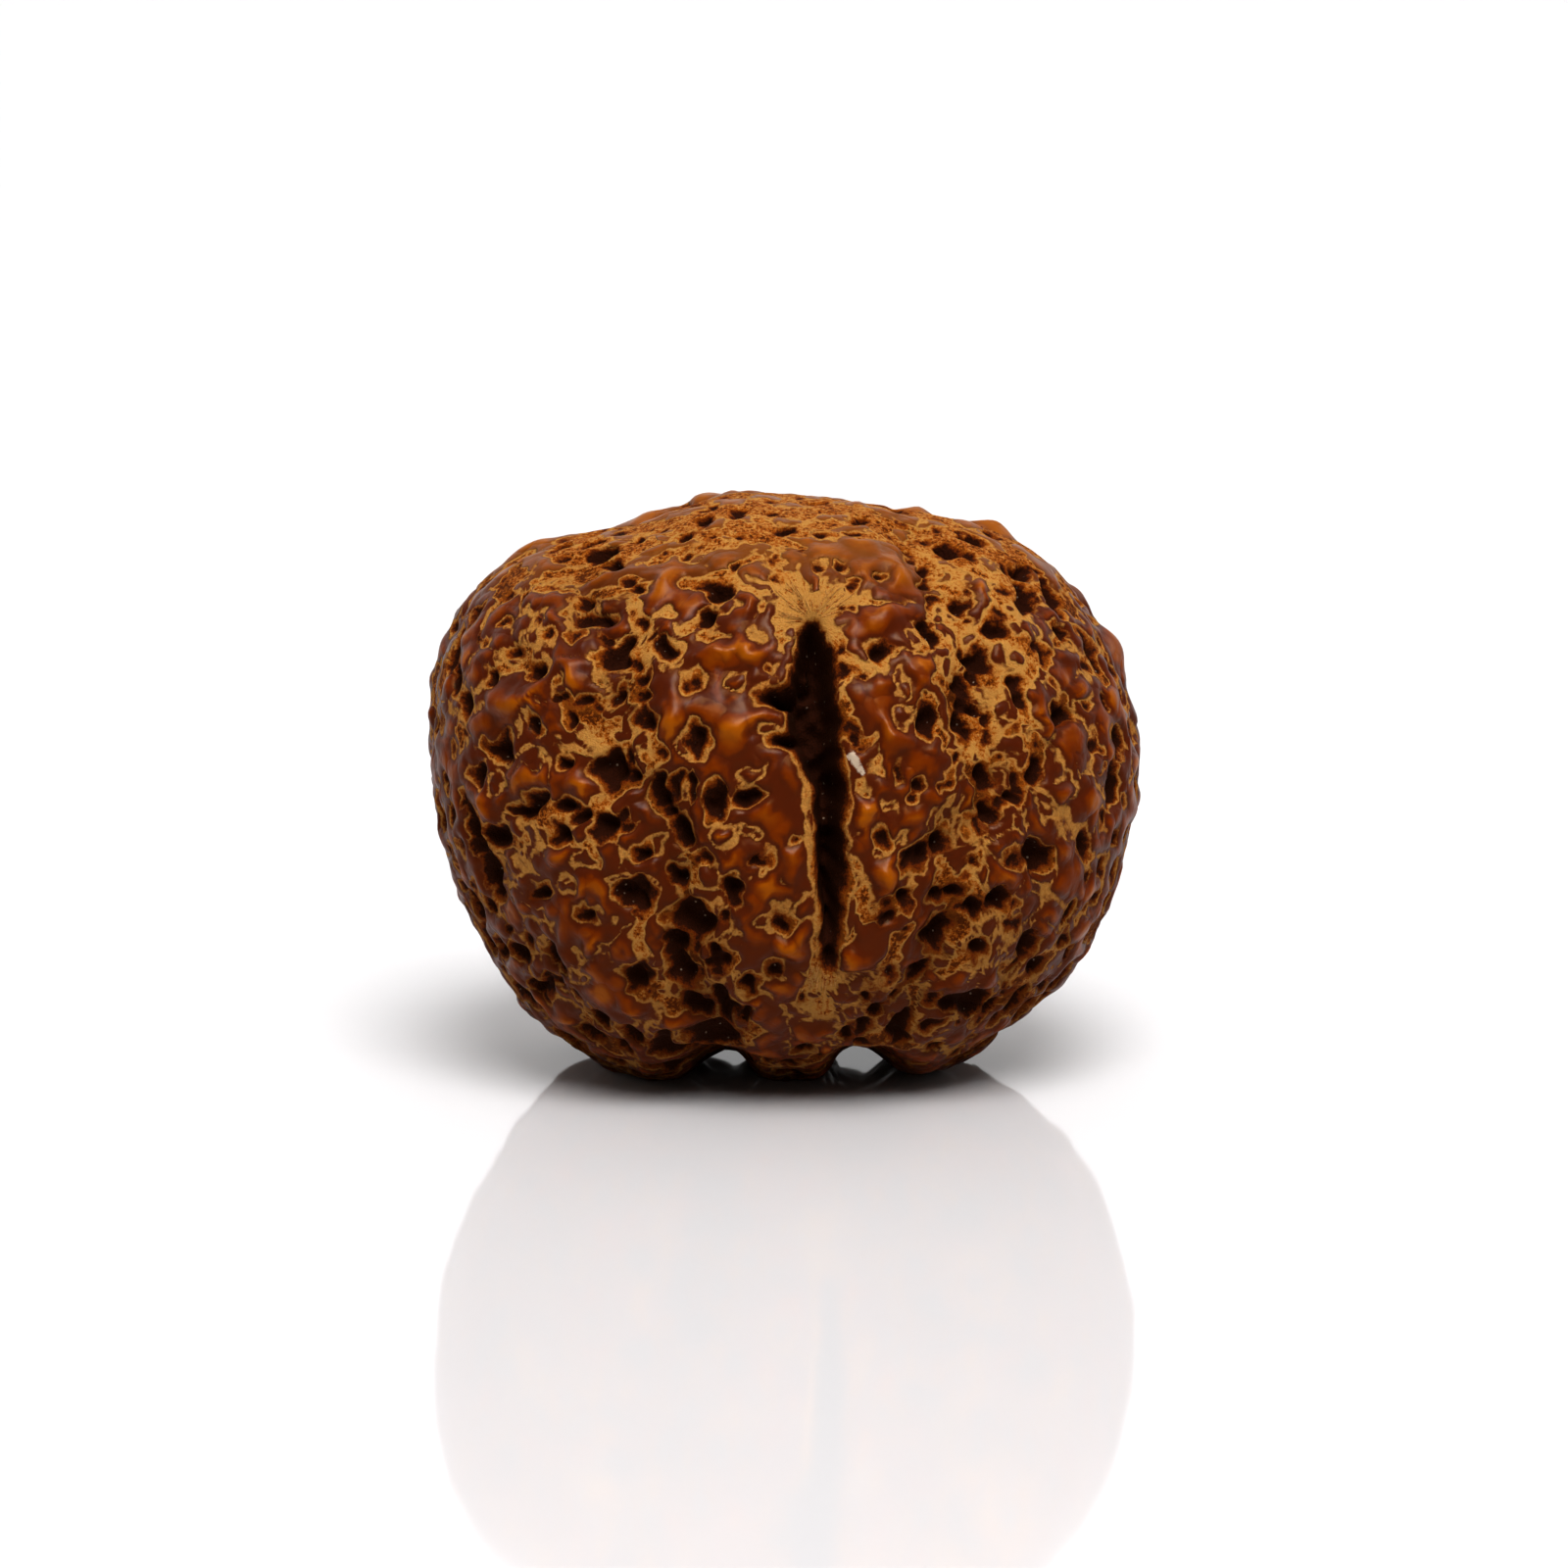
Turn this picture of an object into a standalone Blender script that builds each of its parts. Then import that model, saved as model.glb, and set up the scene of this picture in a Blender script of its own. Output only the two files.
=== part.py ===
"""A rudraksha seed: one woody stone with twelve grooves, blistered panels between them, and pits.

It stands as in the photo: +Z is up, and the side with the long open slot faces -Y.
Sizes are in millimetres until the mesh is made, and MM turns them into Blender's metres.
Places on the front are read off the photo by eye, in its pixels, and MM_PER_PX turns them into millimetres.
The form is worked out in the camera's own frame: right, up in the picture, and away from the camera.
"""

import math

import bpy
import numpy as np

MM = 0.001

# The whole seed
WIDTH = 28.1
DEPTH = 24.9
ROUNDNESS = 2.3  # 2 would be a true ellipse from front to back, and more is boxier
MIDDLE_HEIGHT = 11.45  # the form's middle, above the floor
CAMERA_RISE = math.radians(10)  # the camera looks down by this much
CAMERA_DISTANCE = 300
RELIEF_ROOM = 0.20  # the plain form is this much inside the outline, and the relief fills the rest

# Grooves and slot
VALLEY_DEPTH = 0.6
VALLEY_HALF_WIDTH = 1.15
BARE_HALF_WIDTH = 0.5  # of the bare fibre along a groove
BACK_GROOVES = (87, 111, 135, 160, 197, 234, 271)  # degrees round from the slot, to its right
GROOVE_POLES = 72  # degrees up and down at which those grooves run out
GROOVE_SWAY = 5
GROOVE_BENDS = 2.3
GROOVE_POINTS = 13
ARCH_DEPTH = 1.25
ARCH_HALF_WIDTH = 1.15
ARCH_REACH = 9.5  # how far the grooves under the seed run to the front and to the back
ARCH_RADIUS = 11.5
ARCH_FLATNESS = 0.9
ARCH_POINTS = 9
SLOT_GROWTH = 0.08  # the slot was read a little narrow, because its edges are ragged
SLOT_DEPTH = 1.7
SLOT_WALL = 0.38
SLOT_LIP = 0.05

# Pits and blisters
PIT_DEPTH = 0.85
PIT_WALL = 0.55
PIT_GROWTH = 0.12
PIT_SPACING = 1.12
PIT_RADII = (0.16, 0.62)
LEAST_PIT = 0.45  # strewn pits with a smaller half width are left out, because the mesh can't hold them
CROWN_PITS = 0.8  # pits on the crown are this much smaller than elsewhere
STRETCH = (0.8, 1.7)  # how much higher than wide a pit is
MOST_TURN = 0.8
BLISTER_HEIGHT = 0.45
BLISTER_SPACING = 1.5
BLISTER_RADII = (0.7, 1.5)
STREWN_HEIGHTS = (0.20, 0.42)
BLISTER_POWER = 1.0
SKIN_HEIGHT = 0.15  # the polished skin stands this much above the bare fibre of the grooves
SKIN_EDGE = 0.35
FRONT_ENDS = -7.0  # nearer to the camera than this depth, pits are placed by hand
CROWN_STARTS = 9.3  # above this height in the picture, they are strewn over the crown too
FADE = 1.0  # over this many millimetres, one kind of surface gives way to the next
CROWN_RIM = (6.2, 9.0)  # the crown's small pits begin between these heights in the picture
CROWN_BACK = (1.0, 5.0)  # and end between these depths behind the middle
STREWN_ON_FRONT = 0.5  # how high strewn blisters are between those placed by hand, against elsewhere
FEET_END = 0.9  # no pits below this height above the floor
FLAT = 0.02  # points this near to the floor are pressed onto it
WARP = 0.16  # how far the edges of pits and grooves wander
WARP_SIZE = 1.3
WAVES = 32  # a ripple is the sum of this many waves
WAVE_PACES = (0.7, 1.4)  # their lengths, against the length asked for
FAR = 9.0  # a distance that stands for nothing near
NEVER_ZERO = 1e-6  # is added before a division
MOST_SHARE = 0.985  # a place read nearer to the outline than this is moved in, where it can be seen
LEAST_FACING = 0.5  # ovals near the outline are widened by no more than one over this
SEED = 12

# The mesh
GRID = 112  # squares along each edge of the cube that is blown up into the form
MOST_TRIANGLES = 11700

# The photo's own pixels
SEED_WIDTH_PX = 731
MIDDLE_PX = (800, 790)
MM_PER_PX = WIDTH / SEED_WIDTH_PX

OUTLINE_PX = [
    (758, 499), (831, 507), (935, 514), (992, 533), (1011, 530), (1031, 538), (1065, 566),
    (1099, 599), (1138, 659), (1156, 722), (1167, 772), (1156, 847), (1133, 930), (1099, 990),
    (1044, 1037), (977, 1089), (934, 1098), (800, 1099), (662, 1105), (600, 1079), (536, 1033),
    (501, 975), (462, 902), (441, 819), (436, 722), (449, 650), (493, 590), (535, 556),
    (589, 546), (662, 525), (730, 501),
]
OUTLINE_WAVES = 14
OUTLINE_STEPS = 720

# The open slot down the middle of the front, as (x, y, half width), with its two side notches
SLOT_PX = [
    (827, 645, 9), (832, 665, 15), (831, 690, 20), (830, 715, 22), (833, 738, 25), (832, 758, 20),
    (836, 780, 18), (846, 800, 20), (844, 830, 16), (846, 860, 17), (849, 895, 17), (851, 917, 15),
    (852, 935, 13), (847, 953, 8), (845, 972, 6), (845, 988, 4),
]
NOTCHES_PX = [
    [(830, 703, 13), (800, 712, 9), (774, 711, 3)],
    [(830, 752, 10), (808, 756, 6), (790, 757, 3)],
]

# The grooves of the front, from top to base
FRONT_GROOVES_PX = [
    [(585, 580), (600, 610), (640, 660), (625, 780), (680, 830), (690, 900), (700, 1000), (722, 1050)],
    [(929, 540), (951, 600), (997, 664), (992, 715), (1014, 795), (966, 862), (965, 950), (930, 1030)],
    [(520, 620), (530, 690), (505, 765), (530, 827), (505, 905), (560, 985), (600, 1050)],
    [(1040, 590), (1095, 720), (1058, 785), (1058, 872), (1050, 960), (1010, 1030)],
]

# The two deep grooves that run on under the seed, so that it stands on lobes: x at the floor
ARCHES_PX = (737, 879)

# The larger pits of the front, as (x, y, half width, half height)
PITS_PX = [
    (588, 610, 12, 6), (603, 628, 14, 7), (629, 662, 22, 18), (680, 662, 10, 12), (720, 633, 9, 14),
    (732, 604, 12, 7), (544, 682, 9, 12), (525, 662, 8, 8), (573, 713, 9, 9), (597, 719, 9, 10),
    (505, 762, 15, 11), (617, 782, 16, 20), (657, 733, 10, 10), (712, 758, 9, 17), (706, 693, 9, 9),
    (669, 806, 11, 16), (689, 802, 8, 11), (730, 817, 8, 18), (763, 815, 16, 10), (692, 846, 11, 13),
    (617, 845, 12, 14), (546, 818, 10, 8), (530, 827, 13, 8), (578, 822, 9, 9), (569, 850, 10, 8),
    (503, 854, 13, 9), (505, 910, 9, 12), (551, 908, 11, 7), (534, 979, 9, 8), (563, 979, 10, 9),
    (553, 1008, 16, 7), (686, 897, 9, 9), (648, 913, 12, 14), (745, 909, 9, 12), (704, 941, 18, 20),
    (684, 972, 9, 13), (688, 997, 10, 15), (731, 980, 10, 10), (651, 999, 9, 11), (646, 1056, 10, 11),
    (737, 1032, 12, 18), (896, 665, 11, 9), (946, 735, 9, 16), (937, 805, 8, 8), (942, 876, 9, 9),
    (966, 862, 9, 14), (929, 556, 10, 9), (950, 640, 8, 20), (983, 613, 8, 9), (1034, 589, 15, 11),
    (1020, 639, 10, 10), (1056, 663, 11, 8), (1114, 667, 7, 13), (1003, 670, 18, 13),
    (992, 705, 14, 15), (990, 737, 13, 15), (1038, 705, 11, 19), (1013, 749, 8, 9), (1088, 727, 9, 14),
    (1012, 794, 9, 15), (1015, 829, 10, 10), (1059, 782, 10, 16), (1137, 800, 8, 20), (1058, 872, 12, 12),
    (982, 910, 9, 10), (1019, 918, 10, 13), (965, 955, 9, 15), (1050, 967, 9, 14), (905, 996, 8, 9),
    (940, 999, 10, 11), (961, 968, 10, 13), (922, 1050, 15, 14), (977, 1025, 12, 9), (1013, 1029, 9, 9),
]

# The larger blisters of the front, as (x, y, half width, half height)
BLISTERS_PX = [
    (527, 635, 26, 14), (564, 628, 14, 12), (519, 717, 38, 18), (580, 684, 16, 16), (522, 794, 18, 16),
    (561, 793, 18, 16), (592, 801, 12, 14), (520, 883, 18, 15), (570, 877, 22, 14), (590, 910, 18, 15),
    (609, 970, 16, 16), (648, 1028, 16, 12), (682, 595, 18, 18), (636, 622, 12, 11), (733, 662, 22, 18),
    (765, 662, 18, 18), (773, 616, 24, 20), (690, 735, 18, 26), (759, 742, 30, 18), (768, 788, 26, 16),
    (742, 852, 26, 16), (803, 880, 16, 32), (806, 962, 22, 22), (764, 1023, 18, 14), (912, 580, 26, 22),
    (897, 629, 26, 18), (924, 693, 40, 16), (914, 750, 22, 30), (880, 829, 16, 16), (905, 895, 22, 28),
    (871, 979, 18, 16), (1003, 601, 10, 14), (1057, 630, 28, 14), (1100, 702, 20, 14), (1064, 740, 14, 20),
    (992, 819, 8, 28), (1015, 872, 20, 20), (1050, 908, 16, 18), (1078, 811, 20, 16), (1090, 850, 20, 20),
    (498, 815, 14, 24), (885, 560, 22, 14), (835, 1065, 16, 26),
]


def unit(vectors):
    return vectors / np.linalg.norm(vectors, axis=-1, keepdims=True)


def smooth_step(values, low, high):
    share = np.clip((values - low) / (high - low), 0, 1)
    return share * share * (3 - 2 * share)


def ripple(points, size, seed):
    """A soft random wave about zero, its bumps about size across."""
    random = np.random.default_rng(seed)
    heading = unit(random.normal(size=(WAVES, 3)))
    pace = math.tau / (2 * size) * random.uniform(*WAVE_PACES, WAVES)
    start = random.uniform(0, math.tau, WAVES)
    return np.cos(points @ (heading * pace[:, None]).T + start).sum(axis=1) * math.sqrt(2 / WAVES)


def smooth_outline():
    """The outline's reach from the middle at even angles, with its corners rounded off."""
    across, up = (np.array(OUTLINE_PX) - MIDDLE_PX).T * MM_PER_PX * np.array([[1], [-1]])
    angles = np.linspace(-math.pi, math.pi, OUTLINE_STEPS, endpoint=False)
    reach = np.interp(angles, np.arctan2(up, across), np.hypot(across, up), period=math.tau)
    waves = np.fft.rfft(reach - RELIEF_ROOM)
    waves[OUTLINE_WAVES:] = 0
    return angles, np.fft.irfft(waves, len(angles))


OUTLINE_ANGLES, OUTLINE_REACH = smooth_outline()


def reach_at(angle):
    return np.interp(angle, OUTLINE_ANGLES, OUTLINE_REACH, period=math.tau)


def plain_form(directions):
    """Points of the plain form along unit directions (right, up, away)."""
    across, up, away = directions.T
    in_picture = np.hypot(across, up) / reach_at(np.arctan2(up, across))
    in_depth = np.abs(away) / (DEPTH / 2)
    size = (in_picture**ROUNDNESS + in_depth**ROUNDNESS) ** (-1 / ROUNDNESS)
    return directions * size[:, None]


def on_front(x, y):
    """The point of the plain form that the photo shows at pixel x, y. What is nearer looks larger."""
    nearer = 1.0
    for _ in range(3):
        across = (x - MIDDLE_PX[0]) * MM_PER_PX * nearer
        up = (MIDDLE_PX[1] - y) * MM_PER_PX * nearer
        share = min(math.hypot(across, up) / reach_at(math.atan2(up, across)), MOST_SHARE)
        away = -DEPTH / 2 * (1 - share**ROUNDNESS) ** (1 / ROUNDNESS)
        nearer = 1 + away / CAMERA_DISTANCE
    return np.array([across, up, away])


def to_world(points):
    """From the camera's frame to the seed's own: right, away along the floor, and up."""
    rise, fall = math.sin(CAMERA_RISE), math.cos(CAMERA_RISE)
    across, up, away = points.T
    return np.column_stack([across, up * rise + away * fall, up * fall - away * rise + MIDDLE_HEIGHT])


def from_world(directions):
    rise, fall = math.sin(CAMERA_RISE), math.cos(CAMERA_RISE)
    across, away, up = directions.T
    return np.column_stack([across, away * rise + up * fall, away * fall - up * rise])


def strewn(spacing, seed, tries=14000):
    """Places spread over the whole form, none nearer to another than spacing."""
    random = np.random.default_rng(seed)
    thrown = plain_form(unit(random.normal(size=(tries, 3))))
    found = np.empty_like(thrown)
    count = 0
    for place in thrown:
        if not count or ((found[:count] - place) ** 2).sum(axis=1).min() > spacing**2:
            found[count] = place
            count += 1
    return found[:count]


def front_share(points):
    """1 where the photo shows the surface well, 0 on the sides, the crown and the back."""
    in_front = 1 - smooth_step(points[:, 2], FRONT_ENDS - FADE, FRONT_ENDS)
    return in_front * (1 - smooth_step(points[:, 1], CROWN_STARTS - FADE / 2, CROWN_STARTS + FADE / 2))


def crown_share(points):
    """1 on the top of the seed, where the pits are small."""
    return smooth_step(points[:, 1], *CROWN_RIM) * (1 - smooth_step(points[:, 2], *CROWN_BACK))


def spot(middle, half_width, half_height, turn=0.0):
    """An oval on the surface: its middle, its axes as vectors to measure with, and its radius."""
    out = unit(middle)
    right = unit(np.cross(out, (0, 1, 0)))
    up = np.cross(right, out)
    along = right * math.cos(turn) + up * math.sin(turn)
    across = up * math.cos(turn) - right * math.sin(turn)
    radius = max(half_width, half_height)
    return middle, (along / half_width, across / half_height, out / radius), radius


def front_spot(x, y, half_width_px, half_height_px, grown=0.0):
    """A spot at a photo pixel, made larger where the surface turns away from the camera."""
    middle = on_front(x, y)
    out = unit(middle)
    sideways = max(math.hypot(out[1], out[2]), LEAST_FACING)
    upwards = max(math.hypot(out[0], out[2]), LEAST_FACING)
    wide = half_width_px * MM_PER_PX / sideways + grown
    high = half_height_px * MM_PER_PX / upwards + grown
    return spot(middle, wide, high)


def oval_gap(points, spots):
    """How far each point is outside the nearest spot's edge, and minus that inside one."""
    nearest = np.full(len(points), FAR)
    for middle, axes, _ in spots:
        gap = points - middle
        share = np.sqrt(sum((gap @ axis) ** 2 for axis in axes)) + NEVER_ZERO
        nearest = np.minimum(nearest, (1 - 1 / share) * np.linalg.norm(gap, axis=1))
    return nearest


def swelling(points, spots, heights):
    """Rounded bumps that melt into each other where they meet."""
    total = np.zeros(len(points))
    for (middle, axes, _), height in zip(spots, heights):
        share = sum(((points - middle) @ axis) ** 2 for axis in axes)
        total += (height * np.clip(1 - share, 0, 1) ** BLISTER_POWER) ** 3
    return np.cbrt(total)


def line_gap(points, places, half_widths):
    """How far each point is outside a band that follows a line of places."""
    nearest = np.full(len(points), FAR)
    for start, end, first, last in zip(places, places[1:], half_widths, half_widths[1:]):
        step = end - start
        along = np.clip((points - start) @ step / (step @ step), 0, 1)
        gap = np.linalg.norm(points - start - along[:, None] * step, axis=1)
        nearest = np.minimum(nearest, gap - first - (last - first) * along)
    return nearest


def nearest_line(points, lines):
    """How far each point is from the nearest of some lines that have no width."""
    return np.min([line_gap(points, line, [0] * len(line)) for line in lines], axis=0)


def front_stroke(places):
    """A band on the front from (x, y, half width) places: its middle line and half widths."""
    return [on_front(x, y) for x, y, _ in places], [half * MM_PER_PX for _, _, half in places]


def back_groove(degrees):
    """A groove from pole to pole that wanders a little, on the sides and the back."""
    heights = np.radians(np.linspace(-GROOVE_POLES, GROOVE_POLES, GROOVE_POINTS))
    turns = np.radians(degrees + GROOVE_SWAY * np.sin(GROOVE_BENDS * heights + degrees))
    flat = np.cos(heights)
    line = np.column_stack([np.sin(turns) * flat, -np.cos(turns) * flat, np.sin(heights)])
    return list(plain_form(unit(from_world(line))))


def arch(x):
    """A groove under the seed, from its lower front to its lower back."""
    away = np.linspace(-ARCH_REACH, ARCH_REACH, ARCH_POINTS)
    across = np.full(len(away), (x - MIDDLE_PX[0]) * MM_PER_PX)
    line = np.column_stack([across, away, -np.sqrt(ARCH_RADIUS**2 - away**2 * ARCH_FLATNESS)])
    return list(plain_form(unit(from_world(line))))


def all_pits():
    """The pits placed by hand, and the larger ones strewn over the sides, the crown and the back."""
    pits = [front_spot(*place, grown=PIT_GROWTH) for place in PITS_PX]
    places = strewn(PIT_SPACING, SEED)
    rolls = np.random.default_rng(SEED).random((len(places), 3))
    seen = front_share(places)
    on_crown = crown_share(places)
    heights = to_world(places)[:, 2]
    small, large = PIT_RADII
    flattest, tallest = STRETCH
    for place, (size, stretch, tilt), front, crown, height in zip(places, rolls, seen, on_crown, heights):
        wide = small + (large - small) * size**2
        high = wide * (flattest + (tallest - flattest) * stretch)
        smaller = 1 - (1 - CROWN_PITS) * crown
        if front < 0.5 and height > FEET_END and wide * smaller > LEAST_PIT:
            turn = (2 * tilt - 1) * MOST_TURN
            pits.append(spot(place, wide * smaller + PIT_GROWTH, high * smaller + PIT_GROWTH, turn))
    return pits


def all_blisters():
    """The blisters placed by hand and the lower ones strewn all round, with the height of each."""
    blisters = [front_spot(*place) for place in BLISTERS_PX]
    heights = [BLISTER_HEIGHT] * len(blisters)
    places = strewn(BLISTER_SPACING, SEED + 1)
    rolls = np.random.default_rng(SEED + 1).random((len(places), 4))
    small, large = BLISTER_RADII
    low, high = STREWN_HEIGHTS
    for place, (width, length, turn, rise), front in zip(places, rolls, front_share(places)):
        half_sizes = small + (large - small) * width, small + (large - small) * length
        blisters.append(spot(place, *half_sizes, math.pi * turn))
        heights.append((low + (high - low) * rise) * (1 - (1 - STREWN_ON_FRONT) * front))
    return blisters, heights


def relief(points):
    """How far the surface stands out from the plain form, in millimetres."""
    warped = points + WARP * np.column_stack([ripple(points, WARP_SIZE, SEED + k) for k in range(3)])

    grooves = [[on_front(x, y) for x, y in line] for line in FRONT_GROOVES_PX]
    groove_gap = nearest_line(warped, grooves + [back_groove(degrees) for degrees in BACK_GROOVES])
    arch_gap = nearest_line(points, [arch(x) for x in ARCHES_PX])
    slot_gap = np.min([line_gap(warped, *front_stroke(line)) for line in [SLOT_PX] + NOTCHES_PX], axis=0)
    slot_gap -= SLOT_GROWTH
    pit_gap = oval_gap(warped, all_pits())

    bare_gap = np.minimum(groove_gap - BARE_HALF_WIDTH, slot_gap)
    skin = smooth_step(np.minimum(pit_gap, bare_gap), 0, SKIN_EDGE)
    height = skin * (SKIN_HEIGHT + swelling(points, *all_blisters()))
    height -= VALLEY_DEPTH * np.exp(-((groove_gap / VALLEY_HALF_WIDTH) ** 2))
    height -= ARCH_DEPTH * np.exp(-((arch_gap / ARCH_HALF_WIDTH) ** 4))
    height -= SLOT_DEPTH * (1 - smooth_step(slot_gap, -SLOT_WALL, SLOT_LIP))
    height -= PIT_DEPTH * (1 - smooth_step(pit_gap, -PIT_WALL, 0))
    return height


def cube_grid(count):
    """Unit directions and the four-cornered faces of a cube whose sides are blown up to a ball.

    The camera's frame is left-handed, so the rings run clockwise here and come out facing outwards.
    """
    places = {}
    faces = []
    turns = np.tan(np.linspace(-math.pi / 4, math.pi / 4, count + 1))

    def corner(axis, side, i, j):
        at = [0, 0, 0]
        at[axis] = side * count
        at[(axis + 1) % 3] = 2 * i - count
        at[(axis + 2) % 3] = 2 * j - count
        return places.setdefault(tuple(at), len(places))

    for axis in range(3):
        for side in (-1, 1):
            for i in range(count):
                for j in range(count):
                    ring = [corner(axis, side, i + u, j + v) for u, v in ((0, 0), (1, 0), (1, 1), (0, 1))]
                    faces.append(ring if side < 0 else ring[::-1])
    steps = (np.array(list(places)) + count) // 2
    return unit(turns[steps]), faces


def mesh_object(name, points, faces):
    mesh = bpy.data.meshes.new(name)
    mesh.from_pydata(points.tolist(), [], faces)
    mesh.update()
    made = bpy.data.objects.new(name, mesh)
    bpy.context.scene.collection.objects.link(made)
    return made


def thinned(fine):
    """The object's mesh after Decimate, which keeps triangles where the relief bends most."""
    decimate = fine.modifiers.new("Thin out", "DECIMATE")
    decimate.ratio = MOST_TRIANGLES / (2 * len(fine.data.polygons))
    decimate.use_collapse_triangulate = True
    graph = bpy.context.evaluated_depsgraph_get()
    mesh = bpy.data.meshes.new_from_object(fine.evaluated_get(graph))
    fine.modifiers.remove(decimate)
    return mesh


def stand_on_floor(mesh):
    """Presses the lowest points flat at z = 0 and puts the middle of the box over the origin."""
    points = np.array([vertex.co for vertex in mesh.vertices])
    flat = points[:, 2] < FLAT * MM
    points[flat, 2] = 0
    points[:, :2] -= (points[:, :2].max(axis=0) + points[:, :2].min(axis=0)) / 2
    mesh.vertices.foreach_set("co", points.ravel())
    mesh.update()


def seed_material():
    material = bpy.data.materials.new("Polished seed wood")
    material.use_nodes = True
    shader = material.node_tree.nodes["Principled BSDF"]
    shader.inputs["Base Color"].default_value = (0.23, 0.075, 0.014, 1)
    shader.inputs["Roughness"].default_value = 0.38
    return material


for leftover in list(bpy.data.objects):
    bpy.data.objects.remove(leftover)

directions, squares = cube_grid(GRID)
plain = plain_form(directions)
surface = to_world(plain + directions * relief(plain)[:, None])
surface[:, 2] = np.maximum(surface[:, 2], 0)

seed = mesh_object("seed", surface * MM, squares)
seed.data = thinned(seed)
stand_on_floor(seed.data)
seed.data.materials.append(seed_material())
seed.data.shade_smooth()
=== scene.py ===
# %% [markdown]
# # A rudraksha seed in close-up
# This is the stone of a fruit, about the size of a small walnut. Its wall is divided by twelve grooves
# that run from the top to the base. Between them lie blistered panels with a hard, glossy, amber skin. In
# the grooves that skin is missing, and the dry tan fibre under it shows, with black pits that go deep
# into the wood.
#
# The script loads the solid from the CAD side as a frame, makes a much finer mesh of the same form, and
# gives it materials that follow the relief. It works in millimetres and turns them into metres at the
# end.

# %% Load the solid
import math

import bpy
import mathutils
import numpy as np
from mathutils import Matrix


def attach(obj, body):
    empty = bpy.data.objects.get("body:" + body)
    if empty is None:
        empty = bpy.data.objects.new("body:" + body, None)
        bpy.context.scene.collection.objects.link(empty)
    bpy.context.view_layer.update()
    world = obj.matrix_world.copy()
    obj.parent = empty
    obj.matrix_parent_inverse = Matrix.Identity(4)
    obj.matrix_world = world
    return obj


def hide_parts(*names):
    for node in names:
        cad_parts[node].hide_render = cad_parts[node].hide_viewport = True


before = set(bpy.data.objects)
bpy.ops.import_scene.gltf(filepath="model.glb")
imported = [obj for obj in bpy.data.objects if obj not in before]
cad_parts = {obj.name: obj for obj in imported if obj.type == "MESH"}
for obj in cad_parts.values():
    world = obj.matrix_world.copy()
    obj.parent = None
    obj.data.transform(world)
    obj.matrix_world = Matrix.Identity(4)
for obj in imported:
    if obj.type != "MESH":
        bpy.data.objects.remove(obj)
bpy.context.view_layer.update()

# %% [markdown]
# ## The size, and the camera's own frame
# Places on the front are read off the photo. They are kept as pixels of a 1600 by 1600 picture,
# because that is how a person reads them, and one number turns them into millimetres. The form itself is
# worked out in the camera's frame: right, up in the picture, and away from the camera. The last step
# turns it upright.

# %% Sizes
MM = 0.001
WIDTH = 28.1
DEPTH = 24.9
ROUNDNESS = 2.3  # 2 would be a true ellipse from front to back, and more is boxier
MIDDLE_HEIGHT = 11.45  # the form's middle, above the floor
CAMERA_RISE = math.radians(10)  # the camera looks down by this much
CAMERA_DISTANCE = 300
RELIEF_ROOM = 0.10  # the plain form is this much inside the outline, and the relief fills the rest

SEED_WIDTH_PX = 731
MIDDLE_PX = (800, 790)
MM_PER_PX = WIDTH / SEED_WIDTH_PX
print("one pixel of the photo is", round(MM_PER_PX, 4), "mm on the seed")

# %% [markdown]
# ## The plain form
# A seed is no sphere, and no true ellipsoid: seen from the front it is wide at the hips and flat at the
# base. So the form takes its outline from a ring of places round the picture. A few Fourier waves join
# them into a smooth curve, and a superellipse swells that outline towards the camera and away from it.

# %% The outline and the plain form
OUTLINE_PX = [
    (758, 499), (831, 507), (935, 514), (992, 533), (1011, 530), (1031, 538), (1065, 566),
    (1099, 599), (1138, 659), (1156, 722), (1167, 772), (1156, 847), (1133, 930), (1099, 990),
    (1044, 1037), (977, 1089), (934, 1098), (800, 1099), (662, 1105), (600, 1079), (536, 1033),
    (501, 975), (462, 902), (441, 819), (436, 722), (449, 650), (493, 590), (535, 556),
    (589, 546), (662, 525), (730, 501),
]
OUTLINE_WAVES = 14  # fewer would make the outline rounder
OUTLINE_STEPS = 720
LIMB = 0.985  # a place on the very limb counts as this share of the way out to it
NEARNESS_ROUNDS = 3


def smooth_outline():
    """The outline's reach from the middle at even angles, with its corners rounded off."""
    across, up = (np.array(OUTLINE_PX) - MIDDLE_PX).T * MM_PER_PX * np.array([[1], [-1]])
    angles = np.linspace(-math.pi, math.pi, OUTLINE_STEPS + 1)[:-1]
    reach = np.interp(angles, np.arctan2(up, across), np.hypot(across, up), period=math.tau)
    waves = np.fft.rfft(reach - RELIEF_ROOM)
    waves[OUTLINE_WAVES:] = 0
    return angles, np.fft.irfft(waves, len(angles))


OUTLINE_ANGLES, OUTLINE_REACH = smooth_outline()


def unit(vectors):
    return vectors / np.linalg.norm(vectors, axis=-1, keepdims=True)


def reach_at(angle):
    return np.interp(angle, OUTLINE_ANGLES, OUTLINE_REACH, period=math.tau)


def plain_form(directions):
    """Points of the plain form along unit directions (right, up, away)."""
    across, up, away = directions.T
    in_picture = np.hypot(across, up) / reach_at(np.arctan2(up, across))
    in_depth = np.abs(away) / (DEPTH / 2)
    size = (in_picture**ROUNDNESS + in_depth**ROUNDNESS) ** (-1 / ROUNDNESS)
    return directions * size[:, None]


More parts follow.
